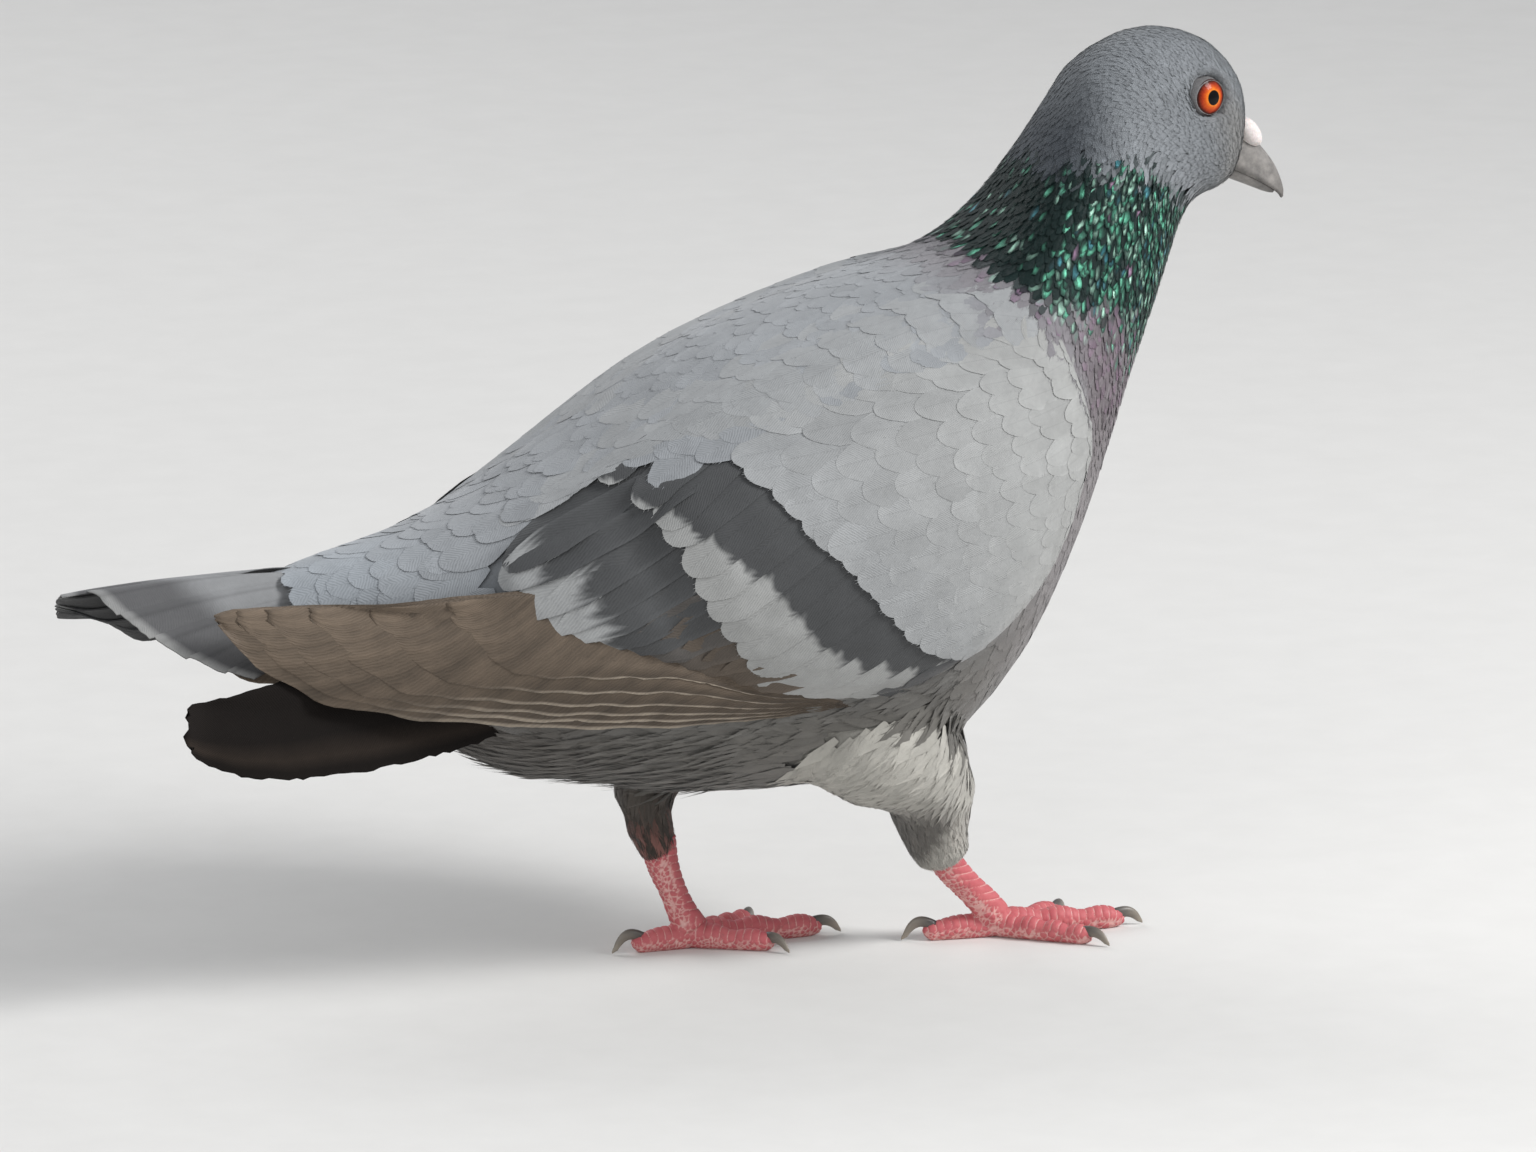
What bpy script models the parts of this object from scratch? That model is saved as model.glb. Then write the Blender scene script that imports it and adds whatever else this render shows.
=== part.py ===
"""A life-size feral pigeon, walking, as a still display model.

Lengths in the tables are millimetres and become metres where a mesh is made.
+X is the way the bird faces, +Y is its left side, +Z is up, and the floor is Z = 0.
The body is one long oval loft, and the folded wings are shells that lie on it.
Last of all the model is moved, so that the origin is at the bottom centre of its box.
"""

import math

import bmesh
import bpy
import numpy as np
from mathutils import Vector

MM = 0.001
RIGHT = -1
LEFT = 1

# Gaps between neighbouring solids
SKIN_GAP = 0.65
CUT_GAP = 0.4

# Stations along the body, from the tail end to the bill.
# Each has its top point (x, z), its bottom point (x, z) and its half width.
# The first four are the space between the wing tips, round the tail.
STATIONS = (
    ((-160, 101), (-152, 74), 21),
    ((-146, 103), (-136, 62), 24.5),
    ((-132, 105), (-121, 56), 26.5),
    ((-118, 107), (-108, 53), 28),
    ((-104, 109.5), (-95, 52), 29.5),
    ((-88, 114), (-82, 50), 32),
    ((-62, 127.5), (-60, 47), 37.5),
    ((-30, 147), (-34, 42), 43),
    ((0, 158.5), (-2, 41), 45.5),
    ((24, 165), (26, 45), 45),
    ((36.5, 168.5), (46, 62), 43),
    ((43, 172), (59.5, 84), 39.5),
    ((48.5, 177), (70.5, 108), 34.5),
    ((53.5, 183.5), (80, 132), 28.5),
    ((58.5, 191), (89, 154), 24.5),
    ((64.5, 200.5), (95, 169.5), 21),
    ((71.5, 211), (100, 176), 17.6),
    ((87, 217.9), (105.3, 177.5), 15.6),
    ((102, 214.8), (108.5, 179.4), 13.4),
    ((110.5, 205.8), (109.4, 180.4), 9.4),
    ((112.6, 196.3), (109.2, 181.2), 5.4),
)
FIRST_STATION = -4

# How the section of the body is shaped: 2 is an ellipse, and more is squarer.
# A crest power under 1 brings the widest place up towards the back.
CREST_POWER = 0.87
TRUNK_ROUNDNESS = 2.2
HEAD_ROUNDNESS = 2.0
ROUNDNESS_BLEND = 3.0
SEARCH_STEPS = 40

# Where the loft is parted, in stations
TRUNK_START = 1.45
NECK_START = 8.0
HEAD_START = 11.3
HEAD_END = 16.0
PART_GAP = 0.06
TRUNK_ENDS = (TRUNK_START + PART_GAP, NECK_START - PART_GAP)
TRUNK_RINGS = 16
NECK_RINGS = 8
HEAD_RINGS = 11
RUMP_RINGS = 8
AROUND_TRUNK = 32
AROUND_NECK = 26

# The rump narrows under the folded wings and ends as the tail coverts.
# Each row has the share of the body's width, and of its depth, from the tail end forward.
RUMP_END = -1.9
RUMP_SHARES = ((0.46, 0.30), (0.62, 0.48), (0.72, 0.66), (0.80, 0.81), (0.90, 0.93), (1.0, 1.0))

# Wing panels on the bird's right side, as outlines (x, z) seen from the side.
# Tops and lows run forward, and backs and fronts run down.
SCAPULAR_TOP = ((-83, 110), (-60, 125), (-30, 143), (0, 154), (22, 160), (42, 162))
SCAPULAR_LOW = ((-70, 116.5), (-50, 127), (-24, 134), (-4, 140), (14, 147.5), (36, 153), (50, 154))
SCAPULAR_BACK = ((-83, 110), (-78, 112.5), (-70, 116.5))
SCAPULAR_FRONT = ((42, 163), (48, 160), (50, 154))
COVERT_TOP = ((-58, 121.5), (-50, 125.7), (-24, 132.8), (-4, 138.7), (14, 146.2), (36, 151.7), (51, 152.5))
COVERT_BACK = ((-58, 121.5), (-54, 114), (-46, 96), (-31, 77))
COVERT_LOW = ((-31, 77), (-12, 71.5), (8, 71.5), (24, 77), (38, 86))
COVERT_FRONT = ((51, 152.5), (59, 130), (52, 106), (38, 86))
SECONDARY_TOP = ((-84.5, 108.3), (-78, 111), (-70, 115), (-60, 120))
SECONDARY_BACK = ((-84.5, 108.3), (-86.5, 104), (-85, 97), (-80, 90.5))
SECONDARY_LOW = ((-80, 90.5), (-62, 87), (-46, 82.5), (-33, 77))
SECONDARY_FRONT = ((-60, 120), (-56, 113), (-48, 95), (-33, 77))
PRIMARY_TOP = ((-154, 99.5), (-130, 98.8), (-112, 97.5), (-88, 96.5), (-80, 89.5), (-62, 86), (-31, 75.5))
PRIMARY_BACK = ((-154, 99.5), (-156, 98.5), (-153.5, 94))
PRIMARY_LOW = ((-153.5, 94), (-146, 86.5), (-131, 77), (-107, 71), (-76, 67), (-50, 65.5), (-27, 67.5))
PRIMARY_FRONT = ((-31, 75.5), (-27.5, 72), (-27, 67.5))

# Thickness of each panel: at its rim, and at its crest from back to front
SCAPULAR_RIM, SCAPULAR_CREST = 0.9, (1.2, 3.2, 3.0)
COVERT_RIM, COVERT_CREST = 1.2, (4.0, 9.0, 5.0)
SECONDARY_RIM, SECONDARY_CREST = 1.2, (1.6, 3.0, 4.2)
PRIMARY_RIM, PRIMARY_CREST = 0.9, (0.9, 2.2, 3.0)

# Towards the front end and the back end a panel thins: share left at the end, and how fast it grows
SWELL_FRONT = (0.25, 3.0)
SWELL_BACK = (0.5, 4.0)

# Tail: the fan springs from its root, and its two halves slope like a roof
TAIL_ROOT = (-99, 0, 98.5)
TAIL_ROOT_HALF_WIDTH = 9
TAIL_END_X = -182
TAIL_END_Z = 101.5
TAIL_HALF_WIDTH = 29.5
TAIL_LEFT_LONGER = 7
TAIL_EDGE_SHORTER = 28
TAIL_EDGE_LOWER = {RIGHT: 22, LEFT: 27}
TAIL_ROOT_DROP = 5
TAIL_ROUND_POWER = 1.3
TAIL_ROOF_POWER = 1.15
TAIL_SPREAD_POWER = 1.5
TAIL_ARCH = 2.5
TAIL_ROOT_THICK = 3.0
TAIL_TIP_THICK = 1.0
FEATHERS_A_SIDE = 5
TIP_SCALLOP = 2.6
LONGER_BLEND = 12
TAIL_MIDDLE_GAP = 0.012
TAIL_GUIDE_PAST_MIDDLE = 0.03
TAIL_GUIDE_PAST_EDGE = 0.024
TAIL_GUIDE_FORWARD = 0.8

# The outermost tail feather on the right is spread and hangs low
LOW_FEATHER_PATH = (
    (-98, -21, 62),
    (-114, -23.5, 63.3),
    (-134, -26, 65.2),
    (-153, -29.5, 67),
    (-170, -32, 71),
)
LOW_FEATHER_WIDTH = (7, 12.5, 17, 17.5, 16)
LOW_FEATHER_THICK = 1.0
LOW_FEATHER_SHAFT = 0.3
LOW_FEATHER_BOW = 1.6
LOW_FEATHER_ROUND = 3.5
LOW_FEATHER_LEAN = (0, 0.28, 0.96)

# Bill: top point (x, z), bottom point (x, z) and half width, from the face to the tip
UPPER_BILL = (
    ((113.4, 193.3), (111.4, 185.5), 3.5),
    ((115.9, 189.0), (113.2, 183.4), 3.2),
    ((118.8, 184.3), (116.2, 180.2), 2.7),
    ((121.6, 180.2), (119.4, 177.2), 2.1),
    ((123.5, 177.0), (121.9, 175.3), 1.4),
    ((124.2, 175.0), (123.2, 174.2), 0.7),
)
LOWER_BILL = (
    ((111.1, 184.6), (110.3, 181.3), 3.1),
    ((113.3, 182.7), (112.4, 179.2), 2.7),
    ((116.2, 179.6), (115.2, 177.0), 2.1),
    ((119.0, 176.8), (118.3, 175.3), 1.4),
    ((120.9, 175.2), (120.5, 174.5), 0.7),
)
CERE_CENTRE = (115.5, 1.75, 191.6)
CERE_RADII = (3.4, 1.9, 2.6)
CERE_TILT = 55
HALF_ROUND_POINTS = 9

# Eye, flattened as the part of an eyeball that shows
EYE_PLACE = (99.6, 202.9)
EYE_RADIUS = 5.5
EYE_DEPTH = 3.0
EYE_PROUD = 0.9

# Legs: centre line points with their radii.
# The right foot is the forward one, and the left foot is behind.
THIGH_RIGHT = (
    ((-6, -20, 60), 11),
    ((6, -22, 55.5), 15.5),
    ((17, -22, 51), 15),
    ((25, -19, 43), 12),
    ((27.5, -15.5, 35), 9.8),
    ((29.5, -13, 28), 8.0),
    ((32.5, -11.8, 21.5), 6.4),
)
THIGH_LEFT = (
    ((2, 24, 60), 11),
    ((-10, 24, 57), 16),
    ((-22, 21, 52), 14.5),
    ((-31, 16, 45), 10.5),
    ((-35.5, 12.5, 36.5), 7.2),
    ((-34, 11, 29), 5.4),
    ((-32, 10, 22.5), 4.3),
)
SHANK_RIGHT = (((33.6, -11.5, 19.4), 3.9), ((39, -10.3, 13.4), 3.7), ((43.5, -9.2, 9.6), 3.9))
SHANK_LEFT = (((-31.4, 9.7, 20.6), 3.8), ((-29.4, 8.6, 14.5), 3.7), ((-27.6, 7.7, 9.9), 4.0))
SHANK_SIDE_SHARE = 0.8
CLAW_SIDE_SHARE = 0.8
BALL_RIGHT = (47.0, -8.5, 3.65)
BALL_LEFT = (-25.0, 7.0, 3.65)
BALL_RADII = (5.4, 4.8, 4.3)

# Toes: where each springs from, its end point on the floor (x, y), and its radius at both ends
SOLE_SINK = 0.35
TOE_END_SHARE = 0.72
TOE_POINTS = 5
TOES = {
    "right_middle": (BALL_RIGHT, (77.5, -11), 3.3, 2.5),
    "right_inner": (BALL_RIGHT, (66, 1), 3.0, 2.3),
    "right_outer": (BALL_RIGHT, (64, -24), 3.0, 2.2),
    "right_hind": (BALL_RIGHT, (31, -7), 2.9, 2.5),
    "left_middle": (BALL_LEFT, (6.5, 7.5), 3.3, 2.5),
    "left_inner": (BALL_LEFT, (-9.5, -2.5), 3.0, 2.3),
    "left_outer": (BALL_LEFT, (-6.5, 20.5), 3.0, 2.2),
    "left_hind": (BALL_LEFT, (-38.5, 7), 2.9, 2.5),
}
CLAW_LENGTH = 8.2
CLAW_RADIUS = 1.45
CLAW_GAP = 0.5
CLAW_LIFT = 0.25
# Rows along a claw: share of its length, height as a share of the toe's, share of the radius
CLAW_SHAPE = ((0.0, 1.15, 1.0), (0.35, 1.35, 0.92), (0.7, 0.95, 0.66), (1.0, 0.2, 0.2))


def clear_scene():
    for old in list(bpy.data.objects):
        bpy.data.objects.remove(old, do_unlink=True)


def material(name, colour, roughness):
    """A Principled material, shared by every part that names it."""
    found = bpy.data.materials.get(name)
    if found:
        return found
    made = bpy.data.materials.new(name)
    made.use_nodes = True
    shader = made.node_tree.nodes["Principled BSDF"]
    shader.inputs["Base Color"].default_value = (*colour, 1)
    shader.inputs["Roughness"].default_value = roughness
    made.diffuse_color = (*colour, 1)
    return made


def spline(values, place):
    """A smooth curve through rows of numbers, read at a place counted in rows."""
    rows = np.asarray(values, float)
    last = len(rows) - 1
    start = min(max(int(math.floor(place)), 0), last - 1)
    t = min(max(place - start, 0.0), 1.0)
    before = rows[start - 1] if start > 0 else 2 * rows[0] - rows[1]
    after = rows[start + 2] if start + 2 <= last else 2 * rows[last] - rows[last - 1]
    a, b = rows[start], rows[start + 1]
    return 0.5 * (
        2 * a
        + (b - before) * t
        + (2 * before - 5 * a + 4 * b - after) * t * t
        + (3 * a - before - 3 * b + after) * t * t * t
    )


STATION_ROWS = [(*top, *bottom, half) for top, bottom, half in STATIONS]


def station(place):
    """Top point, bottom point and half width of the body at a station."""
    row = spline(STATION_ROWS, place - FIRST_STATION)
    return row[:2], row[2:4], row[4]


def roundness(place):
    """The power of the body's section, which is squarer at the trunk than at the head."""
    share = min(max((place - NECK_START) / ROUNDNESS_BLEND, 0.0), 1.0)
    return TRUNK_ROUNDNESS + (HEAD_ROUNDNESS - TRUNK_ROUNDNESS) * share


def body_point(place, angle, grow=0.0):
    """A point on the body. The angle is 0 at the back, and positive on the bird's left."""
    top, bottom, half = station(place)
    power = 2.0 / roundness(place)
    cosine, sine = math.cos(angle), math.sin(angle)
    fall = (1 - math.copysign(abs(cosine) ** power, cosine)) / 2
    fall = fall ** (1 / CREST_POWER)
    down = (bottom - top) / np.linalg.norm(bottom - top)
    height = top + (bottom - top) * fall + down * grow * (-cosine)
    side = math.copysign(abs(sine) ** power, sine) * (half + grow)
    return np.array((height[0], side, height[1]))


def body_normal(place, angle):
    """The outward direction of the body's surface."""
    step = 1e-3
    along = body_point(place + step, angle) - body_point(place - step, angle)
    around = body_point(place, angle + step) - body_point(place, angle - step)
    normal = np.cross(along, around)
    return normal / np.linalg.norm(normal)


def place_on_body(x, z):
    """The station and angle, on the right side, of a point seen from the side."""
    low, high = float(FIRST_STATION), HEAD_END
    for _ in range(SEARCH_STEPS):
        middle = (low + high) / 2
        top, bottom, _half = station(middle)
        down = bottom - top
        if down[0] * (z - top[1]) - down[1] * (x - top[0]) > 0:
            low = middle
        else:
            high = middle
    fall = (top[1] - z) / (top[1] - bottom[1])
    fall = min(max(fall, 0.002), 0.998)
    cosine = 1 - 2 * fall**CREST_POWER
    cosine = math.copysign(abs(cosine) ** (roundness(middle) / 2), cosine)
    return middle, RIGHT * math.acos(cosine)


def finish_mesh(name, vertices, faces, paint):
    """An object from points in millimetres, with its faces turned outward."""
    mesh = bpy.data.meshes.new(name)
    mesh.from_pydata([tuple(float(v) * MM for v in point) for point in vertices], [], faces)
    shape = bmesh.new()
    shape.from_mesh(mesh)
    bmesh.ops.recalc_face_normals(shape, faces=shape.faces)
    bmesh.ops.triangulate(shape, faces=[face for face in shape.faces if len(face.verts) > 4])
    shape.to_mesh(mesh)
    shape.free()
    mesh.shade_smooth()
    mesh.set_sharp_from_angle(angle=math.radians(50))
    mesh.materials.append(paint)
    made = bpy.data.objects.new(name, mesh)
    bpy.context.scene.collection.objects.link(made)
    return made


def loft(name, rings, paint):
    """A closed solid through rings of points, with flat ends."""
    count = len(rings[0])
    vertices = [point for ring in rings for point in ring]
    faces = []
    for row in range(len(rings) - 1):
        for k in range(count):
            after = (k + 1) % count
            first, second = row * count, (row + 1) * count
            faces.append((first + k, first + after, second + after, second + k))
    faces.append(tuple(range(count)))
    faces.append(tuple(range(len(vertices) - count, len(vertices))))
    return finish_mesh(name, vertices, faces, paint)


def slab(name, outer, inner, paint):
    """A closed solid between two grids of points that face each other."""
    rows, columns = len(outer), len(outer[0])
    vertices = [p for row in outer for p in row] + [p for row in inner for p in row]
    below = rows * columns
    faces = []
    for i in range(rows - 1):
        for j in range(columns - 1):
            a = i * columns + j
            b, c, d = a + 1, a + columns + 1, a + columns
            faces.append((a, b, c, d))
            faces.append((below + d, below + c, below + b, below + a))
    rim = list(range(columns))
    rim += [i * columns + columns - 1 for i in range(1, rows)]
    rim += [(rows - 1) * columns + j for j in range(columns - 2, -1, -1)]
    rim += [i * columns for i in range(rows - 2, 0, -1)]
    for a, b in zip(rim, rim[1:] + rim[:1]):
        faces.append((b, a, below + a, below + b))
    return finish_mesh(name, vertices, faces, paint)


def ellipsoid(name, centre, radii, paint, segments, rings):
    """A rounded solid about its centre."""
    mesh = bpy.data.meshes.new(name)
    shape = bmesh.new()
    bmesh.ops.create_uvsphere(shape, u_segments=segments, v_segments=rings, radius=1)
    bmesh.ops.scale(shape, vec=Vector(radii) * MM, verts=shape.verts)
    shape.to_mesh(mesh)
    shape.free()
    mesh.shade_smooth()
    mesh.materials.append(paint)
    made = bpy.data.objects.new(name, mesh)
    made.location = Vector(centre) * MM
    bpy.context.scene.collection.objects.link(made)
    return made


def press_flat(made):
    """Presses what is below the floor flat on it."""
    for vertex in made.data.vertices:
        vertex.co.z = max(vertex.co.z, -made.location.z)


def combine(target, guide, operation):
    """Combines a solid with a second one, which stays in the scene as a hidden guide."""
    guide.hide_render = True
    guide.display_type = "WIRE"
    modifier = target.modifiers.new(operation.lower() + "_" + guide.name, "BOOLEAN")
    modifier.operation = operation
    modifier.solver = "EXACT"
    modifier.object = guide


def cut(target, cutter):
    combine(target, cutter, "DIFFERENCE")


def join(target, extra):
    combine(target, extra, "UNION")


def body_ring(place, count, grow=0.0):
    """The section of the body at a station."""
    return [body_point(place, 2 * math.pi * k / count, grow) for k in range(count)]


def body_part(name, start, end, rings, count, paint, grow=0.0):
    """The body between two stations, as a solid."""
    places = np.linspace(start, end, rings)
    return loft(name, [body_ring(place, count, grow) for place in places], paint)


def rump(name, rings, count, paint):
    """The rump carries on from the trunk, and narrows to the coverts round the tail's root."""
    made = []
    last = len(RUMP_SHARES) - 1
    for row in range(rings):
        part = row / (rings - 1)
        place = RUMP_END + (TRUNK_START - RUMP_END) * part
        width, depth = spline(RUMP_SHARES, part * last)
        top = station(place)[0]
        ring = []
        for point in body_ring(place, count):
            back = (top[0] - point[0], top[1] - point[2])
            low_x, low_z = top[0] - back[0] * depth, top[1] - back[1] * depth
            ring.append(np.array((low_x, point[1] * width, low_z)))
        made.append(ring)
    return loft(name, made, paint)


def edge_curve(outline, share):
    """A point along an outline, as station and angle."""
    places = [place_on_body(x, z) for x, z in outline]
    return spline(places, share * (len(places) - 1))


def wing_panel(name, outline, rim, crest, divisions, side, paint):
    """A shell on the body between four edges, thick in its middle and thin at its rim."""
    top, low, back, front = outline
    along, across = divisions
    tops = [edge_curve(top, i / along) for i in range(along + 1)]
    lows = [edge_curve(low, i / along) for i in range(along + 1)]
    backs = [edge_curve(back, j / across) for j in range(across + 1)]
    fronts = [edge_curve(front, j / across) for j in range(across + 1)]
    mirror = np.array((1, -side, 1))
    outer, inner = [], []
    for i in range(along + 1):
        u = i / along
        outer_row, inner_row = [], []
        for j in range(across + 1):
            v = j / across
            spot = (1 - v) * tops[i] + v * lows[i] + (1 - u) * backs[j] + u * fronts[j]
            spot = spot - (1 - u) * (1 - v) * tops[0] - u * (1 - v) * tops[-1]
            spot = spot - (1 - u) * v * lows[0] - u * v * lows[-1]
            surface = body_point(spot[0], spot[1])
            normal = body_normal(spot[0], spot[1])
            full = spline([(c,) for c in crest], u * (len(crest) - 1))[0]
            swell = math.sqrt(max(0.0, math.sin(math.pi * v)))
            at_front = SWELL_FRONT[0] + SWELL_FRONT[1] * (1 - u)
            at_back = SWELL_BACK[0] + SWELL_BACK[1] * u
            swell *= min(1.0, at_front, at_back)
            depth = rim + (full - rim) * swell
            low_point = surface + normal * SKIN_GAP
            high_point = low_point + normal * depth
            outer_row.append(high_point * mirror)
            inner_row.append(low_point * mirror)
        outer.append(outer_row)
        inner.append(inner_row)
    return slab(name, outer, inner, paint)


def make_wing(side, grey, pale, brown):
    """The four panels of one folded wing."""
    word = "right" if side == RIGHT else "left"
    scapulars = (SCAPULAR_TOP, SCAPULAR_LOW, SCAPULAR_BACK, SCAPULAR_FRONT)
    coverts = (COVERT_TOP, COVERT_LOW, COVERT_BACK, COVERT_FRONT)
    secondaries = (SECONDARY_TOP, SECONDARY_LOW, SECONDARY_BACK, SECONDARY_FRONT)
    primaries = (PRIMARY_TOP, PRIMARY_LOW, PRIMARY_BACK, PRIMARY_FRONT)
    wing_panel("scapulars_" + word, scapulars, SCAPULAR_RIM, SCAPULAR_CREST, (12, 3), side, pale)
    wing_panel("wing_coverts_" + word, coverts, COVERT_RIM, COVERT_CREST, (12, 9), side, pale)
    wing_panel("secondaries_" + word, secondaries, SECONDARY_RIM, SECONDARY_CREST, (5, 6), side, grey)
    wing_panel("primaries_" + word, primaries, PRIMARY_RIM, PRIMARY_CREST, (13, 5), side, brown)


def tail_point(across, along):
    """A point in the middle of the tail's thickness. Across runs from -1, the right edge, to 1."""
    root = np.array(TAIL_ROOT, float) + (0, across * TAIL_ROOT_HALF_WIDTH, 0)
    root[2] -= TAIL_ROOT_DROP * abs(across) ** TAIL_ROUND_POWER
    scallop = TIP_SCALLOP * abs(math.sin(math.pi * across * FEATHERS_A_SIDE)) - TIP_SCALLOP
    longer = TAIL_LEFT_LONGER * (1 - across) * min(1.0, max(0.0, across * LONGER_BLEND))
    lower = TAIL_EDGE_LOWER[LEFT if across > 0 else RIGHT]
    end = np.array((
        TAIL_END_X + TAIL_EDGE_SHORTER * abs(across) ** TAIL_ROUND_POWER - scallop - longer,
        TAIL_HALF_WIDTH * across,
        TAIL_END_Z - lower * abs(across) ** TAIL_ROOF_POWER,
    ))
    point = root + (end - root) * (along, along**TAIL_SPREAD_POWER, along)
    point[2] += TAIL_ARCH * math.sin(math.pi * along)
    return point


def tail_slab(name, side, columns, rows, reach, grow, paint):
    """One half of the tail fan. The reach is the share of its length that is made.

    A half that is grown is a guide, which passes the middle, the edge and the root.
    """
    outer, inner = [], []
    near = -TAIL_GUIDE_PAST_MIDDLE if grow else TAIL_MIDDLE_GAP
    far = 1 + TAIL_GUIDE_PAST_EDGE if grow else 1
    root_forward = TAIL_GUIDE_FORWARD if grow else 0
    for j in range(columns + 1):
        across = side * (near + (far - near) * j / columns)
        outer_row, inner_row = [], []
        for i in range(rows + 1):
            along = reach * i / rows
            middle = tail_point(across, along)
            half = (TAIL_ROOT_THICK + (TAIL_TIP_THICK - TAIL_ROOT_THICK) * along) / 2 + grow
            forward = root_forward if i == 0 else 0
            outer_row.append(middle + (forward, 0, half))
            inner_row.append(middle + (forward, 0, -half))
        outer.append(outer_row)
        inner.append(inner_row)
    return slab(name, outer, inner, paint)


def low_feather(name, rows, columns, paint):
    """One broad feather that hangs below the wing tip, its blade nearly upright."""
    outer, inner = [], []
    widths = [(width,) for width in LOW_FEATHER_WIDTH]
    lean = np.array(LOW_FEATHER_LEAN)
    for i in range(rows + 1):
        u = i / rows
        path = spline(LOW_FEATHER_PATH, u * (len(LOW_FEATHER_PATH) - 1))
        width = spline(widths, u * (len(widths) - 1))[0]
        outer_row, inner_row = [], []
        for j in range(columns + 1):
            v = j / columns
            round_end = LOW_FEATHER_ROUND * (2 * v - 1) ** 2 * (i == rows)
            spot = path + lean * (v - LOW_FEATHER_SHAFT) * width + (round_end, 0, 0)
            spot = spot - (0, LOW_FEATHER_BOW * math.sin(math.pi * v), 0)
            outer_row.append(spot - (0, LOW_FEATHER_THICK / 2, 0))
            inner_row.append(spot + (0, LOW_FEATHER_THICK / 2, 0))
        outer.append(outer_row)
        inner.append(inner_row)
    return slab(name, outer, inner, paint)


def half_round(top, bottom, half, arch_up):
    """A D-shaped ring, round on one side and flat on the other."""
    top, bottom = np.array(top, float), np.array(bottom, float)
    base, crown = (bottom, top) if arch_up else (top, bottom)
    ring = []
    for k in range(HALF_ROUND_POINTS):
        angle = math.pi * k / (HALF_ROUND_POINTS - 1)
        height = base + (crown - base) * math.sin(angle)
        ring.append(np.array((height[0], half * math.cos(angle), height[1])))
    for share in (-0.5, 0.0, 0.5):
        ring.append(np.array((base[0], half * share, base[1])))
    return ring


def make_bill(horn, white):
    """Two half-round jaws, and the two lobes of the cere that sit on the upper one."""
    loft("bill_upper", [half_round(*row, True) for row in UPPER_BILL], horn)
    loft("bill_lower", [half_round(*row, False) for row in LOWER_BILL], horn)
    grown = []
    for row, (top, low, half) in enumerate(UPPER_BILL):
        top, low = np.array(top), np.array(low)
        if row == 0:
            behind = np.array((top - UPPER_BILL[1][0], low - UPPER_BILL[1][1])) / 2
            top, low = top + behind[0], low + behind[1]
        lift = (top - low) / np.linalg.norm(top - low) * CUT_GAP
        grown.append(half_round(top + lift, low - lift, half + CUT_GAP, True))
    guide = loft("guide_bill", grown, horn)
    x, y, z = CERE_CENTRE
    cere = ellipsoid("cere", (x, y, z), CERE_RADII, white, 12, 7)
    other = ellipsoid("guide_cere", (x, -y, z), CERE_RADII, white, 12, 7)
    for made in (cere, other):
        made.rotation_euler = (0, math.radians(CERE_TILT), 0)
    join(cere, other)
    cut(cere, guide)


def make_head(slate):
    """The head, with an eye set in a socket on each side."""
    head = body_part("head", HEAD_START + PART_GAP, HEAD_END, HEAD_RINGS, AROUND_NECK, slate)
    amber = material("eye_amber", (0.75, 0.16, 0.03), 0.1)
    place, angle = place_on_body(*EYE_PLACE)
    for side, word in ((RIGHT, "right"), (LEFT, "left")):
        mirror = np.array((1, -side, 1))
        outward = body_normal(place, angle) * mirror
        centre = body_point(place, angle) * mirror - outward * (EYE_DEPTH - EYE_PROUD)
        radii = (EYE_RADIUS, EYE_RADIUS, EYE_DEPTH)
        room = [radius + CUT_GAP for radius in radii]
        eye = ellipsoid("eye_" + word, centre, radii, amber, 14, 7)
        socket = ellipsoid("guide_eye_" + word, centre, room, slate, 14, 7)
        for made in (eye, socket):
            made.rotation_euler = Vector(outward).to_track_quat("Z", "Y").to_euler()
        cut(head, socket)


def tube_ring(centre, direction, radius, side_share, count):
    """A ring round a centre line, lying across its direction."""
    forward = np.array(direction) / np.linalg.norm(direction)
    sideways = np.cross(forward, (0, 0, 1.0))
    sideways /= np.linalg.norm(sideways)
    upward = np.cross(sideways, forward)
    ring = []
    for k in range(count):
        angle = 2 * math.pi * (k + 0.5) / count
        offset = sideways * math.cos(angle) * radius * side_share + upward * math.sin(angle) * radius
        ring.append(np.array(centre, float) + offset)
    return ring


def tube(name, line, count, steps, paint, side_share=1.0):
    """A solid along a smooth centre line, wide by the side share of its radius."""
    rows = [(*point, radius) for point, radius in line]
    last = len(rows) - 1
    step = 0.05
    rings = []
    for i in range(steps + 1):
        place = last * i / steps
        row = spline(rows, place)
        ahead = spline(rows, min(place + step, last)) - spline(rows, max(place - step, 0))
        rings.append(tube_ring(row[:3], ahead[:3], row[3], side_share, count))
    return loft(name, rings, paint)


def make_foot(word, ball, paint, horn):
    """A foot is its ball with four toes joined to it, and four claws of their own."""
    foot = ellipsoid("foot_" + word, ball, BALL_RADII, paint, 12, 6)
    press_flat(foot)
    for name, (root, end, thick, thin) in TOES.items():
        if not name.startswith(word):
            continue
        start = np.array(root, float)
        finish = np.array((end[0], end[1], thin - SOLE_SINK))
        line = []
        for k in range(TOE_POINTS):
            share = k / (TOE_POINTS - 1)
            point = start + (finish - start) * share
            radius = thick + (thin - thick) * share
            if k == TOE_POINTS - 1:
                radius *= TOE_END_SHARE
            point[2] = radius - SOLE_SINK
            line.append((point, radius))
        toe = tube("guide_toe_" + name, line, 8, 6, paint, 1.0)
        press_flat(toe)
        join(foot, toe)
        make_claw(name, start, finish, thin, horn)
    return foot


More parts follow.
